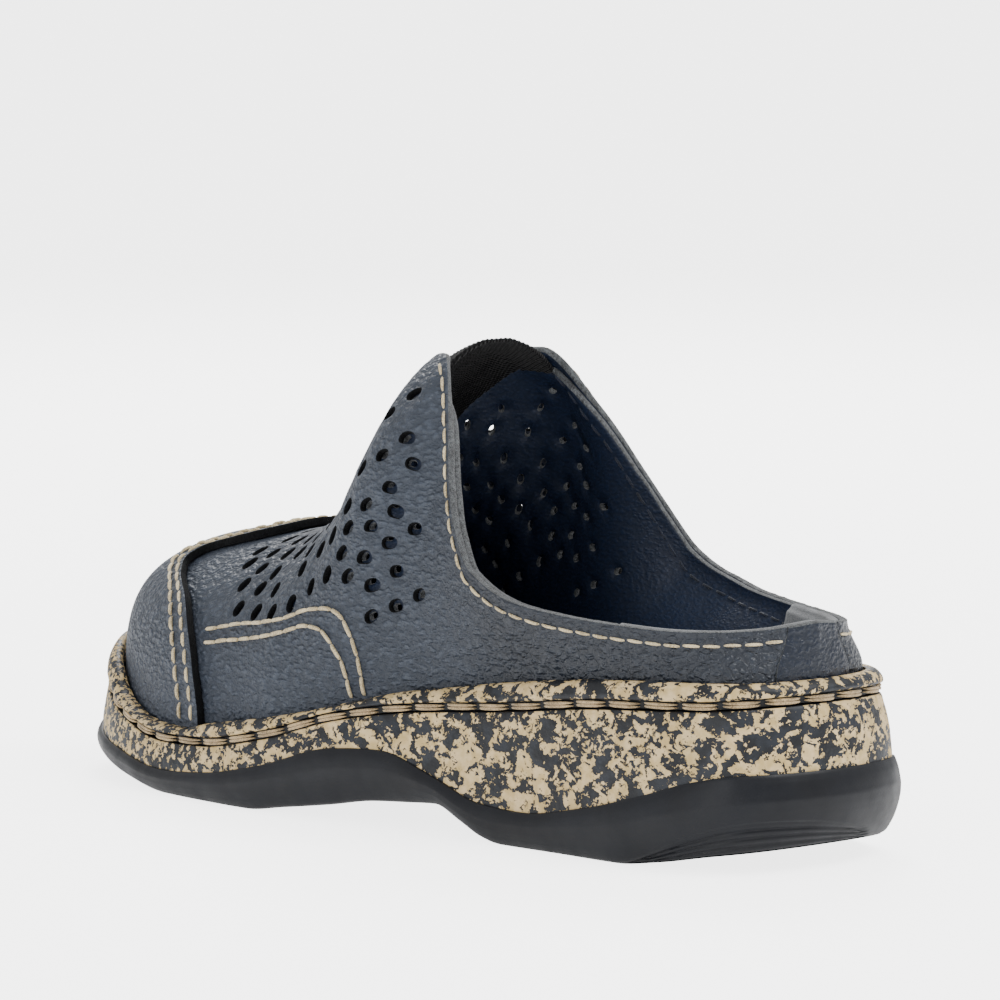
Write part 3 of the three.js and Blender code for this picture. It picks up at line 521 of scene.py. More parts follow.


# The slate leather turns darker towards the heel: painted shade.
LEATHER_LOOK = leather_look("slate_leather", "#0b0f17", "#424a57", 1.3, 0.52, 0.48, creases=0.12,
                            heel_gloss_and_shade=1.0)
CAP_LOOK = leather_look("toe_leather", "#0c1018", "#444c59", 1.25, 0.5, 0.48)
GLOSSY_LOOK = leather_look("navy_leather", "#080d16", "#182131", 1.1, 0.14, 0.3)
LINING_LOOK = leather_look("lining_leather", "#0a101c", "#1b2840", 0.8, 0.08, 0.5)
EDGE_LOOK = raw_edge_look("cut_edge", "#0c0e10", "#5c6063")
CAP_EDGE_LOOK = raw_edge_look("cap_cut_edge", "#020203", "#0d0f12", sheen=0.03)
# Near-black walls of the punched holes: painted shade inside the holes.
HOLE_SHADE_LOOK = raw_edge_look("punched_edge_painted_shade", "#020203", "#0e1013", sheen=0.02)
MOTTLED_LOOK = mottled_look("mottled_rubber", "#bfa570", "#15171b")
# Near-black rubber for the rand's groove and the midsole's top ledge: painted shade in the groove that the
# thread lies in.
GROOVE_SHADE_LOOK = rubber_look("groove_painted_shade", "#030303")
RUBBER_LOOK = rubber_look("satin_rubber", "#090b11")
THREAD_LOOK = thread_look("cream_thread", "#8f7d58", "#e6d5ae")
WAXED_LOOK = thread_look("waxed_thread", "#5c4b33", "#ccb184")
LINING_THREAD_LOOK = thread_look("navy_thread", "#080d18", "#151f35")
ELASTIC_LOOK = elastic_look("ribbed_elastic")
SUEDE_LOOK = suede_look("grey_suede")
HIDDEN_LOOKS = {
    "shank": plain_look("spring_steel", "#8a8d91", "#b4b7ba", 2.5, 0.35, 1.0),
    "insole_board": plain_look("fibre_board", "#8a7352", "#a9906a", 1.5, 0.9),
    "toe_puff": plain_look("puff_sheet", "#a99c85", "#c8bca5", 3.0, 0.8),
    "heel_counter": plain_look("counter_sheet", "#a99c85", "#c8bca5", 3.0, 0.8),
    "forefoot_tread_pad": RUBBER_LOOK,
    "heel_tread_pad": RUBBER_LOOK,
}

for node_name, material in HIDDEN_LOOKS.items():
    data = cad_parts[node_name].data
    data.materials.clear()
    data.materials.append(material)


# ---- Leather sheets ----

DOMAIN = np.array([300.0, 80.0])  # millimetres that one unit of station and of rise stand for when meshing
SHEET_FOOT = 0.06  # rise where the sheets end, behind the rand
SHEET_TOP = 0.99  # rise where the linings end in front of the throat
HOLE_RADIUS = 2.05
HOLE_PITCH = 8.4  # along a row
HOLES_APART = 5.3  # least distance between centres
HOLE_BEHIND_CAP, HOLE_OFF_RIDGE, HOLE_BELOW_TOP = 6, 4.2, 6.5  # least distances to the piece's edges
HOLE_STRETCH = 0.2

# Rows of punched holes, as [run of the rib, rise] from the throat down and forward. Both sides have them.
HOLE_ROWS = [
    [[142, 0.56], [136, 0.45], [129, 0.36]],
    [[136, 0.60], [131, 0.50], [126, 0.42], [115, 0.405], [98, 0.40], [75, 0.46]],
    [[134, 0.70], [130, 0.60], [122, 0.455], [104, 0.44], [83, 0.51], [70, 0.56]],
    [[130, 0.72], [124, 0.545], [112, 0.49], [96, 0.50], [81, 0.58], [66, 0.66]],
    [[128, 0.79], [124, 0.63], [116, 0.54], [100, 0.55], [84, 0.645], [62, 0.74]],
    [[127, 0.86], [121, 0.70], [112, 0.615], [98, 0.62], [84, 0.71], [70, 0.80]],
    [[121, 0.87], [114, 0.74], [104, 0.69], [92, 0.72], [80, 0.80], [70, 0.88]],
    [[113, 0.87], [105, 0.78], [94, 0.79], [82, 0.87], [74, 0.93]],
    [[106, 0.88], [97, 0.87], [88, 0.92]],
]


def arc_length(points):
    return np.concatenate([[0], np.cumsum(np.linalg.norm(np.diff(points, axis=0), axis=-1))])


def hole_centres():
    """Centres of the holes, in station and rise, that lie clear of each other and of the edges."""
    kept, places = [], []
    for number, row in enumerate(HOLE_ROWS):
        u = np.linspace(0, len(row) - 1, 200)
        run, rise = (curve([[i, c[k]] for i, c in enumerate(row)])(u) for k in (0, 1))
        station = station_at(run)
        arc = arc_length(surface(OUTER, station, rise))
        marks = np.arange(1 + HOLE_PITCH / 2 * (number % 2), arc[-1], HOLE_PITCH)
        for s, r in zip(np.interp(marks, arc, station), np.interp(marks, arc, rise)):
            point = surface(OUTER, s, r)
            free = all(np.linalg.norm(point - other) > HOLES_APART for other in places)
            behind_cap = s > cap_station(r) + HOLE_BEHIND_CAP / DOMAIN[0]
            off_ridge = s > GORE_STATION or point[0] + MIDDLE_X > HOLE_OFF_RIDGE
            below_top = np.linalg.norm(point - surface(OUTER, s, 1.0)) > HOLE_BELOW_TOP
            if free and behind_cap and off_ridge and below_top:
                kept.append((float(s), float(r)))
                places.append(point)
    return kept


def hole_loop(centre, rng, sides=18):
    """Ring round a hole, in station and rise, that is a oval on the leather itself, stretched up and back."""
    s, r = centre
    small = 1e-3
    along = (surface(OUTER, s + small, r) - surface(OUTER, s - small, r)) / (2 * small)
    up = (surface(OUTER, s, r + small) - surface(OUTER, s, r - small)) / (2 * small)
    metric = np.array([[along @ along, along @ up], [along @ up, up @ up]])
    to_circle = np.linalg.cholesky(metric).T
    angle = np.linspace(0, 2 * np.pi, sides, endpoint=False)
    size = HOLE_RADIUS * rng.uniform(0.93, 1.05)
    radius = size * (1 + HOLE_STRETCH * np.cos(2 * (angle - rng.uniform(0.75, 1.05))))
    circle = np.stack([radius * np.cos(angle), radius * np.sin(angle)])
    return (np.linalg.solve(to_circle, circle)).T + centre


def inside(points, loop):
    """Even-odd test of many points against one closed loop."""
    result = np.zeros(len(points), bool)
    for a, b in zip(loop, np.roll(loop, -1, axis=0)):
        crosses = (a[1] > points[:, 1]) != (b[1] > points[:, 1])
        with np.errstate(divide="ignore", invalid="ignore"):
            at = a[0] + (points[:, 1] - a[1]) / (b[1] - a[1]) * (b[0] - a[0])
        result ^= crosses & (points[:, 0] < at)
    return result


def triangulate(loop, holes, spacing):
    """Points in station and rise, triangles, and the loops' point numbers."""
    loops = [np.asarray(ring) * DOMAIN for ring in [loop, *holes]]
    low, high = loops[0].min(0), loops[0].max(0)
    rows = np.arange(low[1], high[1], spacing * 0.87)
    columns = np.arange(low[0], high[0], spacing)
    field = np.array([(x + (i % 2) * spacing / 2, y) for i, y in enumerate(rows) for x in columns])
    edges_at = np.concatenate(loops)
    near = np.array([np.min(np.sum((edges_at - p) ** 2, axis=1)) for p in field])
    field = field[(near > (0.62 * spacing) ** 2) & inside(field, loops[0])]
    for ring in loops[1:]:
        field = field[~inside(field, ring)]
    starts = np.cumsum([0, *[len(ring) for ring in loops]])
    constraints = [
        (start + i, start + (i + 1) % len(ring))
        for start, ring in zip(starts, loops) for i in range(len(ring))
    ]
    points = [Vector(p) for p in np.concatenate([edges_at, field])]
    made = delaunay_2d_cdt(points, constraints, [], 0, 1e-7, True)
    corners = np.array([tuple(p) for p in made[0]])
    triangles = np.array(made[2])
    middles = corners[triangles].mean(axis=1)
    keep = inside(middles, loops[0])
    for ring in loops[1:]:
        keep &= ~inside(middles, ring)
    where = {source: i for i, sources in enumerate(made[3]) for source in sources}
    rings = [[where[start + i] for i in range(len(ring))] for start, ring in zip(starts, loops)]
    return corners / DOMAIN, triangles[keep], rings


RIM = ((0.16, 0.15), (0.5, 0.26), (0.84, 0.15))  # share of the thickness, and how far the edge bulges


def rim_strip(build, side, ring, outside, inside_points, ids, closed, turn, rough, mark):
    """Rounded edge between the two faces of a sheet, along a ring of its point numbers."""
    front, back = outside[ring], inside_points[ring]
    along = np.roll(front, -1, axis=0) - np.roll(front, 1, axis=0) if closed else np.gradient(front, axis=0)
    out = np.cross(along, front - back) * side * turn
    out /= np.maximum(np.linalg.norm(out, axis=1, keepdims=True), 1e-9)
    fuzz = 1 + rough * grain(front, 1.1, 3)[:, None]
    rows = [ids[0][ring]]
    for share, bulge in RIM:
        rows.append(build.add(mix(front, back, share) + out * bulge * fuzz))
    rows.append(ids[1][ring])
    grid = np.array(rows).T
    build.sheet(grid, closed=closed, mark=mark)


def cut_sheet(build, side, cut, depths, bumps, joint, rough):
    """Adds a sheet with holes. joint(station, rise) says where its outline meets the sheet's other half."""
    places, triangles, rings = cut
    station, rise = places.T
    outer_depth, inner_depth = depths
    flat = below(side, station, rise, np.full(len(station), outer_depth))
    lift = bumps * grain(flat * np.array([side, 1, 1]), 13, 1)
    normal = facing(side, station, rise)
    outside = flat + normal * lift[:, None]
    within = flat - normal * (inner_depth - outer_depth)
    ids = (build.add(outside), build.add(within))
    for a, b, c in triangles:
        build.face((ids[0][a], ids[0][b], ids[0][c]), 0)
        build.face((ids[1][a], ids[1][c], ids[1][b]), 2)
    for ring in rings[1:]:
        # The holes' walls take the fourth material, which on the vamp is near-black painted shade.
        rim_strip(build, side, ring, outside, within, ids, True, -1, 0.4, 3)
    outline = rings[0]
    free = [not joint(*places[i]) for i in outline]
    if all(free):
        rim_strip(build, side, outline, outside, within, ids, True, 1, rough, 1)
        return
    start = next(i for i in range(len(free)) if free[i] and not free[i - 1])
    turned = outline[start:] + outline[:start]
    run_length = sum(free)
    strip = [turned[-1], *turned[:run_length], turned[run_length]]
    rim_strip(build, side, strip, outside, within, ids, False, 1, rough, 1)


def sampled(at, count):
    """Evenly spaced points of a line, without its end."""
    return [tuple(float(v) for v in at(t)) for t in np.linspace(0, 1, count, endpoint=False)]


HOLES = hole_centres()
rng = np.random.default_rng(11)
HOLE_LOOPS = [hole_loop(centre, rng) for centre in HOLES]


def vamp_front(rise):
    return cap_station(rise, CAP_OVERLAP)


def on_ridge(station, rise):
    return rise > 0.9999 and station < GORE_STATION + 1e-6


RIDGE_END = float(vamp_front(1.0))
vamp_loop = [
    *sampled(lambda t: (mix(float(vamp_front(SHEET_FOOT)), BACK_SEAM, t), SHEET_FOOT), 130),
    *sampled(lambda t: (BACK_SEAM, mix(SHEET_FOOT, 1, t)), 24),
    *sampled(lambda t: (mix(BACK_SEAM, GORE_STATION, t), 1.0), 190),
    *sampled(lambda t: (mix(GORE_STATION, RIDGE_END, t), 1.0), 60),
    *sampled(lambda t: (vamp_front(mix(1, SHEET_FOOT, t)), mix(1, SHEET_FOOT, t)), 60),
]
vamp_cut = triangulate(vamp_loop, HOLE_LOOPS, spacing=1.7)
vamp = Build()
for side in BOTH:
    cut_sheet(vamp, side, vamp_cut, (0.0, LEATHER), 0.16, on_ridge, rough=1.2)
vamp_looks = [LEATHER_LOOK, EDGE_LOOK, LINING_LOOK, HOLE_SHADE_LOOK]
piece("perforated_vamp", vamp.mesh("perforated_vamp", vamp_looks), "leather", "vamp")

# ---- Linings ----

RIDGE_STEPS = 7


def lining_seam(rise):
    """Station where the toe's lining meets the linings of the sides."""
    return mix(vamp_front(rise), GORE_STATION, 2 / RIDGE_STEPS)


def lining_top(station):
    """Rise where the linings end: lower beside the gore, which is sewn in over them."""
    over_gore = smoothstep(GORE_STATION - 0.05, GORE_STATION - 0.02, station)
    over_gore = over_gore * (1 - smoothstep(THROAT_STATION + 0.004, THROAT_STATION + 0.03, station))
    return mix(0.992, 0.94, over_gore)


SEAM_GAP = 0.0016  # in station
SEAM_TOP = float(lining_seam(SHEET_TOP))


def along_seam(t):
    rise = mix(SHEET_TOP, SHEET_FOOT, t)
    return lining_seam(rise) + SEAM_GAP, rise


def along_lining_top(t):
    station = mix(GRIP_STATION, SEAM_TOP, t)
    return station, lining_top(station)


lining_loop = [
    *sampled(lambda t: (mix(float(lining_seam(SHEET_FOOT)) + SEAM_GAP, GRIP_STATION, t), SHEET_FOOT), 100),
    *sampled(lambda t: (GRIP_STATION, mix(SHEET_FOOT, lining_top(GRIP_STATION), t)), 20),
    *sampled(along_lining_top, 200),
    *sampled(along_seam, 60),
]
LINING_SHIFT = np.array([-1.0, -0.6])  # the lining's holes lie further forward and lower
LINING_SCATTER = 0.6
LINING_HOLE = 0.6  # size of the lining's holes next to the leather's
lining_rings = [
    mix(ring.mean(0), ring, LINING_HOLE)
    + (rng.uniform(-LINING_SCATTER, LINING_SCATTER, 2) + LINING_SHIFT) / DOMAIN
    for ring in HOLE_LOOPS
]
clear_of_seam = [
    ring for ring in lining_rings
    if ring[:, 0].min() > lining_seam(ring[:, 1].mean()) + 0.012
    and (ring[:, 1] < lining_top(ring[:, 0]) - 0.02).all()
]
lining_cut = triangulate(lining_loop, clear_of_seam, spacing=2.2)
for side, node_name in ((OUTER, "outer_side_lining"), (INNER, "inner_side_lining")):
    lining = Build()
    depths = (LEATHER + LINING_GAP, LINING_FACE)
    cut_sheet(lining, side, lining_cut, depths, 0.0, lambda station, rise: False, rough=0.5)
    mesh = lining.mesh(node_name + "_skin", [LINING_LOOK, EDGE_LOOK, LINING_LOOK, EDGE_LOOK])
    piece(node_name + "_skin", mesh, "lining", node_name)


def panel(build, end_station, rises, columns, depths, lift=0.0):
    """Sheet round the toe: both sides joined at the tip and along the ridge, with a rounded cut edge."""
    outer_depth, inner_depth = depths
    share = np.linspace(0, 1, columns)
    for side in BOTH:
        station = share[:, None] * end_station(rises)[None, :]
        rise = np.broadcast_to(rises, station.shape)
        turn_up = lift * smoothstep(0.9, 1, share)[:, None]
        base = below(side, station, rise, np.full(station.shape, outer_depth))
        normal = facing(side, station, rise)
        wave = 0.14 * grain(base * np.array([side, 1, 1]), 15, 5).reshape(station.shape)
        wave = wave * smoothstep(0, 0.04, share)[:, None] * (rise < 0.999)
        outside = base + normal * (turn_up + wave)[..., None]
        within = base - normal * (inner_depth - outer_depth)
        ids = (build.add(outside).reshape(station.shape), build.add(within).reshape(station.shape))
        build.sheet(ids[0], mark=0)
        build.sheet(ids[1], mark=2)
        build.sheet(np.array([ids[0][:, 0], ids[1][:, 0]]), mark=2)
        flat_ids = (ids[0].ravel(), ids[1].ravel())
        last_column = np.arange(station.size).reshape(station.shape)[-1]
        rim_strip(build, side, list(last_column), outside.reshape(-1, 3), within.reshape(-1, 3), flat_ids,
                  False, 1, 1.3, 1)


cap_rises = np.concatenate([np.linspace(SHEET_FOOT, 0.6, 40), np.linspace(0.6, 1, 46)[1:]])
cap = Build()
panel(cap, cap_station, cap_rises, 84, (CAP_FACE, -CLEARANCE), lift=0.35)
cap_looks = [CAP_LOOK, CAP_EDGE_LOOK, LINING_LOOK]
piece("pebbled_toe_cap", cap.mesh("pebbled_toe_cap", cap_looks), "leather", "toe_cap")

toe_skin = Build()
panel(toe_skin, lining_seam, np.linspace(SHEET_FOOT, SHEET_TOP, 40), 50, (LEATHER + 0.65, LINING_FACE))
toe_looks = [LINING_LOOK, EDGE_LOOK, LINING_LOOK]
piece("toe_lining_skin", toe_skin.mesh("toe_lining_skin", toe_looks), "lining", "toe_lining")

# ---- Elastic gore ----

GORE_DOME = 0.29  # height of its arch, as a share of half the throat's width
GORE_COLUMNS = 150
ELASTIC = 1.2
RIB_HEIGHT, RIB_PITCH = 0.11, 1.25
RIB_SLANT = (0.82, 0.57)  # share of the ribs' direction across the gore, and along it


def through(points, count):
    """Points spread evenly along a smooth curve through the given ones."""
    points = points[np.concatenate([[True], np.linalg.norm(np.diff(points, axis=0), axis=1) > 1e-3])]
    arc = arc_length(points)
    at = np.linspace(0, arc[-1], count)
    return np.stack([curve(list(zip(arc, points[:, k])))(at) for k in range(3)], -1)


def gore_row(station, depth, count):
    """One line across the gore: up inside one quarter, over the arch and down inside the other."""
    tucked = (0.93, 0.965, 1.0)
    right, left = ([below(side, station, rise, np.array(depth)) for rise in tucked] for side in BOTH)
    arch = float(top_half(station)) * GORE_DOME * UP
    bridge = [mix(right[-1], left[-1], t) + arch * 4 * t * (1 - t) for t in (0.2, 0.4, 0.6, 0.8)]
    return through(np.array([*right, *bridge, *left[::-1]]), count)


gore_stations = np.linspace(GORE_STATION - 0.018, THROAT_STATION + 0.002, 110)
gore = Build()
gore_grids = []
for depth in (ELASTIC_FACE, ELASTIC_FACE + ELASTIC):
    rows = np.array([gore_row(s, depth, GORE_COLUMNS) for s in gore_stations])
    lengthwise = arc_length(rows[:, GORE_COLUMNS // 2])[:, None]
    across = np.linspace(0, 1, GORE_COLUMNS) * arc_length(rows[-1])[-1]
    phase = (across * RIB_SLANT[0] + lengthwise * RIB_SLANT[1]) / RIB_PITCH
    ribs = RIB_HEIGHT * np.sin(2 * np.pi * phase)
    normal = np.cross(np.gradient(rows, axis=1), np.gradient(rows, axis=0))
    normal /= np.maximum(np.linalg.norm(normal, axis=-1, keepdims=True), 1e-9)
    gore_grids.append(gore.add(rows + normal * ribs[..., None]).reshape(rows.shape[:2]))
for grid in gore_grids:
    gore.sheet(grid)
for pick in (lambda g: g[0], lambda g: g[-1], lambda g: g[:, 0], lambda g: g[:, -1]):
    gore.sheet(np.array([pick(gore_grids[0]), pick(gore_grids[1])]))
piece("ribbed_gore", gore.mesh("ribbed_gore", [ELASTIC_LOOK]), "elastic", "elastic_gore")

# ---- Pieces that wrap round the heel ----

def wrap(name, slot, start, columns, rises, depth_at, inner_at, looks, node_name):
    """Closed sheet round the heel, with rounded edges: depths are functions of station and rise."""
    shell = Build()
    half = np.linspace(start, 1, columns)
    stations = np.concatenate([half, half[-2::-1]])
    sides = np.concatenate([np.ones(columns), -np.ones(columns - 1)])
    s, r = np.meshgrid(stations, rises, indexing="ij")
    side = np.broadcast_to(sides[:, None], s.shape)
    base, normal = surface(side, s, r), facing(side, s, r)
    front = base - normal * depth_at(s, r)[..., None]
    back = base - normal * inner_at(s, r)[..., None]
    ids = [shell.add(front).reshape(s.shape), shell.add(back).reshape(s.shape)]
    shell.sheet(ids[0], mark=0)
    shell.sheet(ids[1], mark=0)
    tops = [ids[0][:, -1]]
    for share, height in ((0.15, 0.35), (0.4, 0.595), (0.6, 0.595), (0.85, 0.35)):
        tops.append(shell.add(mix(front[:, -1], back[:, -1], share) + UP * height))
    tops.append(ids[1][:, -1])
    shell.sheet(np.array(tops), mark=1)
    shell.sheet(np.array([ids[0][:, 0], ids[1][:, 0]]), mark=1)
    for end, top_column in ((0, 0), (-1, -1)):
        shell.sheet(np.array([ids[0][end], ids[1][end]]), mark=1)
        shell.face([column[top_column] for column in tops], 1)
    return piece(name, shell.mesh(name, looks), slot, node_name)


WRAP_TOP = 0.985
STRIP_PROUD = 0.25  # the back strip stands proud of the quarters
GRIP_BACK, GRIP_TOP_FACE = 3.45, 3.9  # depths of the grip's hidden face low down, and of its face at the top


def strip_face(s, r):
    return -STRIP_PROUD * smoothstep(BACK_SEAM, BACK_SEAM + 0.008, s)


def strip_back(s, r):
    return np.full(s.shape, LEATHER)


def grip_back(s, r):
    return mix(GRIP_BACK, LEATHER + LINING_GAP, smoothstep(0.88, 0.96, r))


def grip_face(s, r):
    return mix(GRIP_FACE, GRIP_TOP_FACE, smoothstep(0.8, 1.0, r))


wrap("glossy_back_strip", "leather", BACK_SEAM + 0.001, 36, np.linspace(SHEET_FOOT, WRAP_TOP, 26),
     strip_face, strip_back, [GLOSSY_LOOK, EDGE_LOOK], "back_strip")
wrap("suede_heel_grip", "suede", GRIP_STATION + 0.002, 60, np.linspace(SHEET_FOOT, WRAP_TOP, 30),
     grip_back, grip_face, [SUEDE_LOOK, SUEDE_LOOK], "heel_grip")

# ---- Threads ----

PLIES, STRAND_SIDES = 3, 12

# Each kind of stitch in mm: pitch and length along the row, width of a strand, how far its middle stands
# up and its ends dive in, and how far it slants. Turns are of its plies, and a low number for blunt
# makes its ends thin.
CAP_STITCH = dict(pitch=4.9, length=4.5, width=1.0, lift=0.42, slant=0.55, turns=1.1, blunt=3)
COLLAR_STITCH = dict(pitch=5.0, length=4.7, width=0.8, lift=0.26, slant=0.2, turns=1.3, blunt=2.4)
LINING_STITCH = dict(pitch=5.2, length=4.4, width=0.6, lift=0.16, turns=1.0)
SIDE_STITCH = dict(pitch=4.9, length=4.95, width=1.05, lift=0.36, dive=0.1, turns=1.7)
RAND_STITCH = dict(pitch=10.6, length=9.6, width=0.84, lift=0.1, dive=1.3, slant=0.25, turns=2.2, strands=2,
                   steps=20, blunt=2.6)


def dense_path(side, stations, rises, depth):
    """Points of a seam at a depth under the upper's face, and the face's directions there."""
    points = below(side, stations, rises, np.full(len(stations), float(depth)))
    return points, facing(side, stations, rises)


def resample(points, normals, at):
    """Points and directions at given lengths along a path."""
    arc = arc_length(points)
    spots = np.stack([np.interp(at, arc, points[:, k]) for k in range(3)], -1)
    ups = np.stack([np.interp(at, arc, normals[:, k]) for k in range(3)], -1)
    return spots, ups / np.linalg.norm(ups, axis=1, keepdims=True)


def strand(build, spine, ups, width, turns, blunt):
    """Tube with twisted plies and rounded ends, along a spine whose outward direction is given."""
    along = np.gradient(spine, axis=0)
    along /= np.linalg.norm(along, axis=1, keepdims=True)
    across = np.cross(along, ups)
    across /= np.linalg.norm(across, axis=1, keepdims=True)
    outward = np.cross(across, along)
    t = np.linspace(0, 1, len(spine))
    taper = np.sqrt(np.clip(1 - np.abs(2 * t - 1) ** blunt, 0.03, 1))
    angle = np.linspace(0, 2 * np.pi, STRAND_SIDES, endpoint=False)
    turned = angle[None] + 2 * np.pi * turns * t[:, None]
    lobes = 0.86 + 0.14 * np.abs(np.cos(PLIES / 2 * turned))
    radius = (width / 2 * taper)[:, None] * lobes
    ring = spine[:, None] + across[:, None] * (radius * np.cos(angle))[..., None]
    ring = ring + outward[:, None] * (radius * np.sin(angle))[..., None]
    ids = build.add(ring).reshape(len(spine), STRAND_SIDES)
    build.sheet(np.concatenate([ids, ids[:, :1]], axis=1))
    build.face(ids[0][::-1])
    build.face(ids[-1])


def stitch_row(build, points, normals, *, pitch, length, width, lift, turns, dive=0.55, slant=0.0,
               strands=1, steps=11, blunt=6):
    """Separate stitches along a path: each dives into the leather at both ends."""
    total = arc_length(points)[-1]
    count = max(1, round((total - length) / pitch) + 1)
    spread = (total - length) / max(count - 1, 1)
    for k in range(count):
        start = k * spread
        t = np.linspace(0, 1, steps)
        spots, ups = resample(points, normals, start + length * t)
        across = np.cross(np.gradient(spots, axis=0), ups)
        across /= np.maximum(np.linalg.norm(across, axis=1, keepdims=True), 1e-9)
        arch = np.clip(1 - np.abs(2 * t - 1) ** 4, 0, 1)
        jitter = random.uniform(-0.08, 0.08)
        sink = mix(-dive, lift, arch)[:, None]
        for n in range(strands):
            aside = (n - (strands - 1) / 2) * width * 0.92 + jitter + slant * (t - 0.5)
            spine = spots + ups * sink + across * np.reshape(aside, (-1, 1))
            strand(build, spine, ups, width * random.uniform(0.94, 1.05), turns, blunt)


def cap_path(forward):
    """Path of a seam in front of the toe cap's edge, from the outer rand over the ridge to the inner."""
    rises = np.linspace(0.16, 1, 90)
    outer = dense_path(OUTER, cap_station(rises, forward), rises, CAP_FACE)
    falls = rises[-2::-1]
    inner = dense_path(INNER, cap_station(falls, forward), falls, CAP_FACE)
    return np.concatenate([outer[0], inner[0]]), np.concatenate([outer[1], inner[1]])


CAP_SEAM_NEAR, CAP_SEAM_FAR = 2.8, 8.2  # in front of the cap's edge
for node_name, forward in (("cap_thread_rear", CAP_SEAM_NEAR), ("cap_thread_front", CAP_SEAM_FAR)):
    row = Build()
    points, normals = cap_path(forward)
    stitch_row(row, points, normals, **CAP_STITCH)
    name = node_name.replace("thread", "stitches")
    piece(name, row.mesh(name, [THREAD_LOOK]), "thread", node_name)

COLLAR_DROP = 3.2  # stitch line below the topline edge
INSIDE_DROP = 2.1 * COLLAR_DROP
for side, node_name in ((OUTER, "outer_collar_thread"), (INNER, "inner_collar_thread")):
    stations = np.linspace(THROAT_STATION + 0.002, BACK_SEAM - 0.002, 160)
    reach = np.linalg.norm(surface(side, stations, 1.0) - surface(side, stations, 0.95), axis=1) / 0.05
    rises = 1 - COLLAR_DROP / reach
    row = Build()
    points, normals = dense_path(side, stations, rises, 0.0)
    stitch_row(row, points, normals, **COLLAR_STITCH)
    name = node_name.replace("thread", "stitches")
    piece(name, row.mesh(name, [THREAD_LOOK]), "thread", node_name)
    inner = Build()
    lined = stations < mix(stations[0], stations[-1], 0.7)
    rises = 1 - INSIDE_DROP / reach[lined]
    points, normals = dense_path(side, stations[lined], rises, LINING_FACE)
    stitch_row(inner, points, -normals, **LINING_STITCH)
    piece(name + "_inside", inner.mesh(name + "_inside", [LINING_THREAD_LOOK]), "thread")

# The side seams, as [run of the rib, rise], from the toe cap back and down to the rand.
SIDE_SEAMS = {
    "upper": [[64.5, 0.40], [71, 0.405], [78, 0.405], [89, 0.39], [102, 0.36], [112, 0.34], [119, 0.33],
              [124, 0.29], [127, 0.24], [129.5, 0.155]],
    "lower": [[65.5, 0.36], [72, 0.36], [78, 0.358], [88, 0.35], [98, 0.335], [108, 0.315], [114, 0.295],
              [119, 0.26], [122, 0.23], [125.5, 0.155]],
}
for side, word in ((OUTER, "outer"), (INNER, "inner")):
    for seam, places in SIDE_SEAMS.items():
        u = np.linspace(0, len(places) - 1, 160)
        run, rise = (curve([[i, p[k]] for i, p in enumerate(places)])(u) for k in (0, 1))
        points, normals = dense_path(side, station_at(run), rise, 0.0)
        row = Build()
        stitch_row(row, points, normals, **SIDE_STITCH)
        name = f"{word}_side_stitches_{seam}"
        piece(name, row.mesh(name, [THREAD_LOOK]), "thread", f"{word}_side_thread_{seam}")

# ---- Soles ----

RING_STEPS = 230


def ring(out, height, flare=0.0, steps=RING_STEPS, shape=None):
    """Closed line round the shoe: `out` from the rand's edge, at a height that depends on run."""
    half = np.linspace(0, 1, steps + 1)
    stations = np.concatenate([half, half[-2:0:-1]])
    sides = np.concatenate([np.ones(steps + 1), -np.ones(steps - 1)])
    reach = out + flare * HEEL_FLARE * smoothstep(0.78, 0.97, stations)
    if shape is not None:
        reach = reach + shape(stations, sides)
    x, run = edge(sides, stations, reach)
    return np.stack([x - MIDDLE_X, run - MIDDLE_RUN, height(run)], -1)


def between(low, high, share):
    return lambda run: mix(low(run), high(run), share)


def roughen(points, amount, scale, seed):
    """Moves points sideways by smooth noise."""
    centre = points.mean(axis=0)
    out = points - centre
    out[:, 2] = 0
    out /= np.maximum(np.linalg.norm(out, axis=1, keepdims=True), 1e-9)
    return points + out * (amount * grain(points, scale, seed))[:, None]


def layer(build, rings, closed_section=False, shaded=()):
    """Skin over rings. Bands between rings in `shaded` get the second material, which on the soles is painted
    shade.
    """
    ids = np.array([build.add(r) for r in rings])
    looped = np.concatenate([ids, ids[:, :1]], axis=1)
    bands = len(rings) if closed_section else len(rings) - 1
    for i in range(bands):
        build.sheet(looped[[i, (i + 1) % len(rings)]], mark=int(i in shaded))
    if closed_section:
        return
    for cap_ids in (ids[0], ids[-1]):
        count = len(cap_ids)
        for i in range(count // 2):
            a, b, c, d = cap_ids[i], cap_ids[i + 1], cap_ids[-i - 1], cap_ids[-i % count]
            build.face(dict.fromkeys((a, b, c, d)) if i else (a, b, c))


# Outsole: [out from the rand's edge, share of its height, share of the heel's flare], from the ground up.
OUTSOLE_SECTION = [
    [-6, 0, 0.2], [-1.5, 0, 0.4], [0.6, 0.004, 0.5], [1.5, 0.03, 0.6], [2.1, 0.08, 0.75], [2.6, 0.14, 0.9],
    [3.0, 0.2, 1.05], [3.35, 0.27, 1.2], [3.7, 0.35, 1.3], [4.0, 0.44, 1.4], [4.15, 0.54, 1.5],
    [4.2, 0.63, 1.5], [4.1, 0.72, 1.4], [3.95, 0.8, 1.3], [3.75, 0.87, 1.2], [3.5, 0.925, 1.1],
    [3.35, 0.955, 1.05], [3.25, 0.975, 1.0], [3.0, 0.99, 1.0], [2.5, 0.996, 1.0], [1.5, 0.996, 1.0],
]


# Upper edge of the tread panel, as [way round the heel, share of the outsole's height]: it reaches from
# the outer side, past the back at 1, to the start of the inner side.
panel_edge = curve([[0, 0], [0.81, 0], [0.87, 0.24], [0.93, 0.40], [0.97, 0.35], [1, 0.26], [1.025, 0.16],
                    [1.045, 0], [2, 0]])


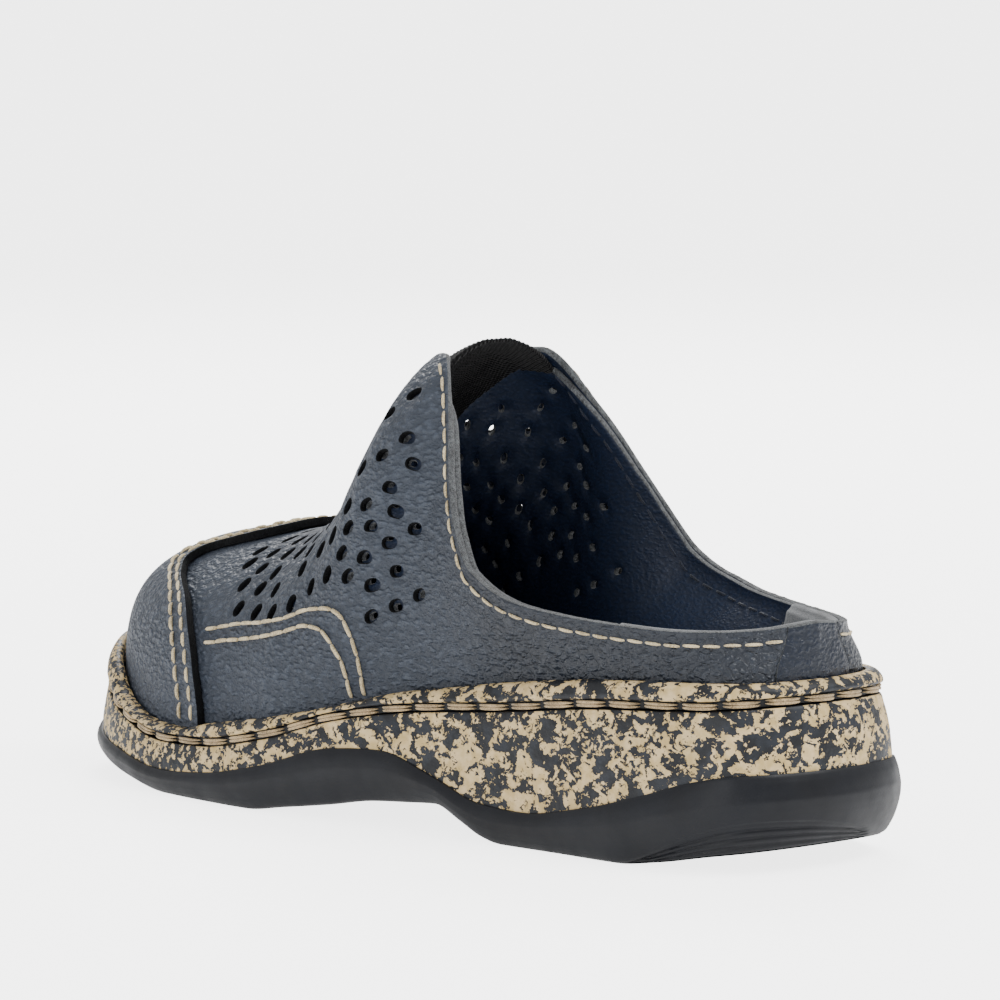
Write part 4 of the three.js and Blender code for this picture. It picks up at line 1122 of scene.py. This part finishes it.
def tread_panel(share):
    """How far the grooved panel under the heel is sunk, at a share of the outsole's height."""
    def depth(stations, sides):
        edge_at = panel_edge(np.where(sides > 0, stations, 2 - stations))
        within = smoothstep(-0.005, 0.012, edge_at - share) * (edge_at > 0.01)
        up_panel = share / np.maximum(edge_at, 0.01)
        grooves = sum(np.exp(-((up_panel - k) / 0.07) ** 2) for k in (0.25, 0.5, 0.75))
        return -within * (0.4 + 0.5 * grooves) * (share > 0.002)
    return depth


fine_shares = np.concatenate([np.linspace(0, 0.45, 46), np.linspace(0.45, 0.996, 26)[1:]])
section_out = curve([[row[1] + 0.0005 * i, row[0]] for i, row in enumerate(OUTSOLE_SECTION[2:-2])])
section_flare = curve([[row[1] + 0.0005 * i, row[2]] for i, row in enumerate(OUTSOLE_SECTION[2:-2])])


def outsole_ring(out, share, flare, shape=None):
    return ring(out, between(outsole_bottom, outsole_top, share), flare, shape=shape)


outsole = Build()
layer(outsole, [
    *[outsole_ring(*row) for row in OUTSOLE_SECTION[:2]],
    *[outsole_ring(float(section_out(share)), share, float(section_flare(share)), tread_panel(share))
      for share in fine_shares],
    *[outsole_ring(*row) for row in OUTSOLE_SECTION[-2:]],
])
piece("satin_outsole", outsole.mesh("satin_outsole", [RUBBER_LOOK], sharp=50), "rubber", "outsole")

# Midsole, in the same way: from inside the outsole's lip up to the groove that the thread lies in.
MIDSOLE_SECTION = [
    [1.6, -0.03, 1.0], [2.65, -0.02, 1.0], [2.62, 0.08, 0.95], [2.5, 0.25, 0.85], [2.3, 0.42, 0.75],
    [2.0, 0.58, 0.6], [1.75, 0.72, 0.45], [1.5, 0.84, 0.25], [1.35, 0.92, 0.12], [1.2, 0.965, 0.05],
    [0.95, 0.99, 0.0], [0.5, 1.0, 0.0], [-0.6, 1.0, 0.0], [-3.0, 1.0, 0.0],
]
midsole = Build()
# The bands of the top ledge get the near-black groove rubber, painted shade.
layer(midsole, [
    roughen(ring(out, between(outsole_top, groove_top, share), flare), 0.22, 5.5, 21)
    for out, share, flare in MIDSOLE_SECTION
], shaded=(10, 11, 12))
SOLE_LOOKS = [MOTTLED_LOOK, GROOVE_SHADE_LOOK]
piece("mottled_midsole", midsole.mesh("mottled_midsole", SOLE_LOOKS, sharp=55), "mottled", "midsole")

# Rand: [out, height above the groove, share of the way from the groove's shoulder to the top].
GROOVE_FLOOR, GROOVE_HEIGHT = -0.4, 2.2


def above_groove(lift):
    return lambda run: groove_top(run) + lift


RAND_SECTION = [
    [1.35, 0.09], [1.5, 0.2], [1.42, 0.34], [1.15, 0.5], [0.75, 0.65], [0.3, 0.78], [-0.15, 0.88],
    [-0.7, 0.95], [-1.3, 0.99], [-2.0, 0.985], [-2.6, 0.93],
]
rand_rings = [
    ring(-2.75, above_groove(CLEARANCE)),
    ring(GROOVE_FLOOR, above_groove(CLEARANCE)),
    ring(GROOVE_FLOOR, above_groove(GROOVE_HEIGHT - 0.25)),
    ring(GROOVE_FLOOR + 0.5, above_groove(GROOVE_HEIGHT - 0.05)),
    ring(0.9, above_groove(GROOVE_HEIGHT + 0.05)),
    *[ring(out, between(above_groove(GROOVE_HEIGHT), rand_top, share)) for out, share in RAND_SECTION],
]
rand = Build()
# The groove's bands get the near-black groove rubber, painted shade.
layer(rand, [roughen(r, 0.18, 4.0, 33) for r in rand_rings], closed_section=True, shaded=(0, 1, 2, 3))
piece("mottled_rand", rand.mesh("mottled_rand", SOLE_LOOKS, sharp=55), "mottled", "rand")

# Thick doubled stitches in the groove, all the way round.
groove_line = ring(0.75, above_groove(1.15), steps=700)
groove_line = np.concatenate([groove_line, groove_line[:1]])
outward = np.cross(np.gradient(groove_line, axis=0), UP)
outward /= np.linalg.norm(outward, axis=1, keepdims=True)
row = Build()
stitch_row(row, groove_line, outward, **RAND_STITCH)
piece("rand_stitches", row.mesh("rand_stitches", [WAXED_LOOK]), "thread", "rand_thread")

# ---- Footbed ----

foam_at = curve([[0, 0.85], [40, 1], [110, 1.1], [150, 1.25], [200, 0.9], [252, 0.8]])
cup_at = curve([[0, 0], [22, 0], [60, 0.13], [110, 0.35], [150, 0.65], [200, 1], [252, 1]])
FOOTBED_EASE = 0.5
FOAM, HEEL_CUP, BOARD_TOP, COVER = 4.0, 3.2, 2.9, 1.2
half = np.linspace(0, 1, 130)
grip = smoothstep(GRIP_STATION - 0.03, GRIP_STATION, half)
inset = upper_inset(half) + mix(LINING_FACE, GRIP_FACE, grip) + FOOTBED_EASE
right, left = (np.stack(edge(side, half, -inset), -1) for side in BOTH)
share = np.linspace(-1, 1, 46)
across = mix(left[:, None], right[:, None], ((share + 1) / 2)[None, :, None])
near_rim = mix(np.abs(share)[None, :] ** 4, 1, smoothstep(0.9, 1, half)[:, None])
run = across[..., 1]
low = groove_top(run) + BOARD_TOP
cup = cup_at(run) * HEEL_CUP * near_rim
rounding = 0.9 * np.clip((np.abs(share)[None] - 0.93) / 0.07, 0, 1) ** 2
tops = low + foam_at(run) * FOAM + cup + COVER - rounding
level = np.stack([across[..., 0], run, run * 0], -1)
tops = tops + 0.25 * grain(level, 24, 9).reshape(run.shape)
footbed = Build()
grids = [
    footbed.add(np.stack([across[..., 0] - MIDDLE_X, run - MIDDLE_RUN, z], -1)).reshape(run.shape)
    for z in (low, tops)
]
for grid in grids:
    footbed.sheet(grid)
for pick in (lambda g: g[:, 0], lambda g: g[:, -1]):
    footbed.sheet(np.array([pick(grids[0]), pick(grids[1])]))
bed = piece("padded_footbed", footbed.mesh("padded_footbed", [LINING_LOOK]), "lining", "footbed_cover",
            "footbed_foam")

# ---- Stage, light and camera ----

# The floor and the world look brighter to the camera than the light they give, for a near-white background.
FLOOR_REACH = 40.0  # metres
FLOOR_LIGHT, FLOOR_SEEN = 0.6, 3.4
WORLD_LIGHT, WORLD_SEEN = 0.9, 6.3

floor_mesh = bpy.data.meshes.new("floor")
floor_corners = [(x * FLOOR_REACH, y * FLOOR_REACH, 0) for x, y in ((-1, -1), (1, -1), (1, 1), (-1, 1))]
floor_mesh.from_pydata(floor_corners, [], [(0, 1, 2, 3)])
floor_look = Look("pale_floor")
floor_mesh.materials.append(floor_look.finish("#f7f7f7", 0.7, Specular_IOR_Level=0.1,
                                              Emission_Color=(1, 1, 1, 1)))
floor_path = floor_look.node("ShaderNodeLightPath").outputs["Is Camera Ray"]
floor_glow = floor_look.ramp(floor_path, 0, 1, FLOOR_LIGHT, FLOOR_SEEN)
floor_look.put(floor_look.shader.inputs["Emission Strength"], floor_glow)
floor = bpy.data.objects.new("floor", floor_mesh)
bpy.context.scene.collection.objects.link(floor)

world = bpy.data.worlds.new("studio")
bpy.context.scene.world = world
world.use_nodes = True
light_path = world.node_tree.nodes.new("ShaderNodeLightPath")
strength = world.node_tree.nodes.new("ShaderNodeMapRange")
strength.inputs["To Min"].default_value = WORLD_LIGHT
strength.inputs["To Max"].default_value = WORLD_SEEN
background = world.node_tree.nodes["Background"]
background.inputs["Color"].default_value = (1, 1, 1, 1)
world.node_tree.links.new(light_path.outputs["Is Camera Ray"], strength.inputs["Value"])
world.node_tree.links.new(strength.outputs["Result"], background.inputs["Strength"])


def area_light(name, place, size, power):
    light = bpy.data.lights.new(name, "AREA")
    light.shape, light.size, light.energy = "DISK", size, power
    obj = bpy.data.objects.new(name, light)
    obj.location = place
    obj.rotation_euler = (Vector((0, 0, 0.05)) - Vector(place)).to_track_quat("-Z", "Y").to_euler()
    bpy.context.scene.collection.objects.link(obj)


# Places and sizes in metres, power in watts.
for name, place, size, power in (
    ("key", (-0.5, 0.9, 1.5), 0.9, 20),
    ("fill", (1.6, 0.5, 0.7), 1.2, 8),
    ("rim", (-0.9, -1.0, 1.1), 0.8, 22),
):
    area_light(name, place, size, power)

# The camera looks past the target, so that it lies a little left of and below the picture's middle.
AZIMUTH, ELEVATION, DISTANCE = 138.82, 7.19, 1362.7
LENS, SENSOR = 196.96, 36.0
TARGET = Vector((-1.392, 0.034, 45.0))
TARGET_LEFT, TARGET_BELOW = 0.023, 0.1247  # as shares of the picture's width
a, e = math.radians(AZIMUTH), math.radians(ELEVATION)
back = Vector((math.sin(a) * math.cos(e), -math.cos(a) * math.cos(e), math.sin(e)))
right_hand = Vector((math.cos(a), math.sin(a), 0))
overhead = back.cross(right_hand)
view_width = SENSOR / LENS
aim = (-back + (right_hand * TARGET_LEFT + overhead * TARGET_BELOW) * view_width).normalized()
camera = bpy.data.objects.new("camera", bpy.data.cameras.new("camera"))
camera.data.lens, camera.data.sensor_width = LENS, SENSOR
camera.data.clip_start, camera.data.clip_end = 0.01, 50
camera.location = (back * DISTANCE + TARGET) * MM
camera.rotation_euler = aim.to_track_quat("-Z", "Y").to_euler()
bpy.context.scene.collection.objects.link(camera)
bpy.context.scene.camera = camera
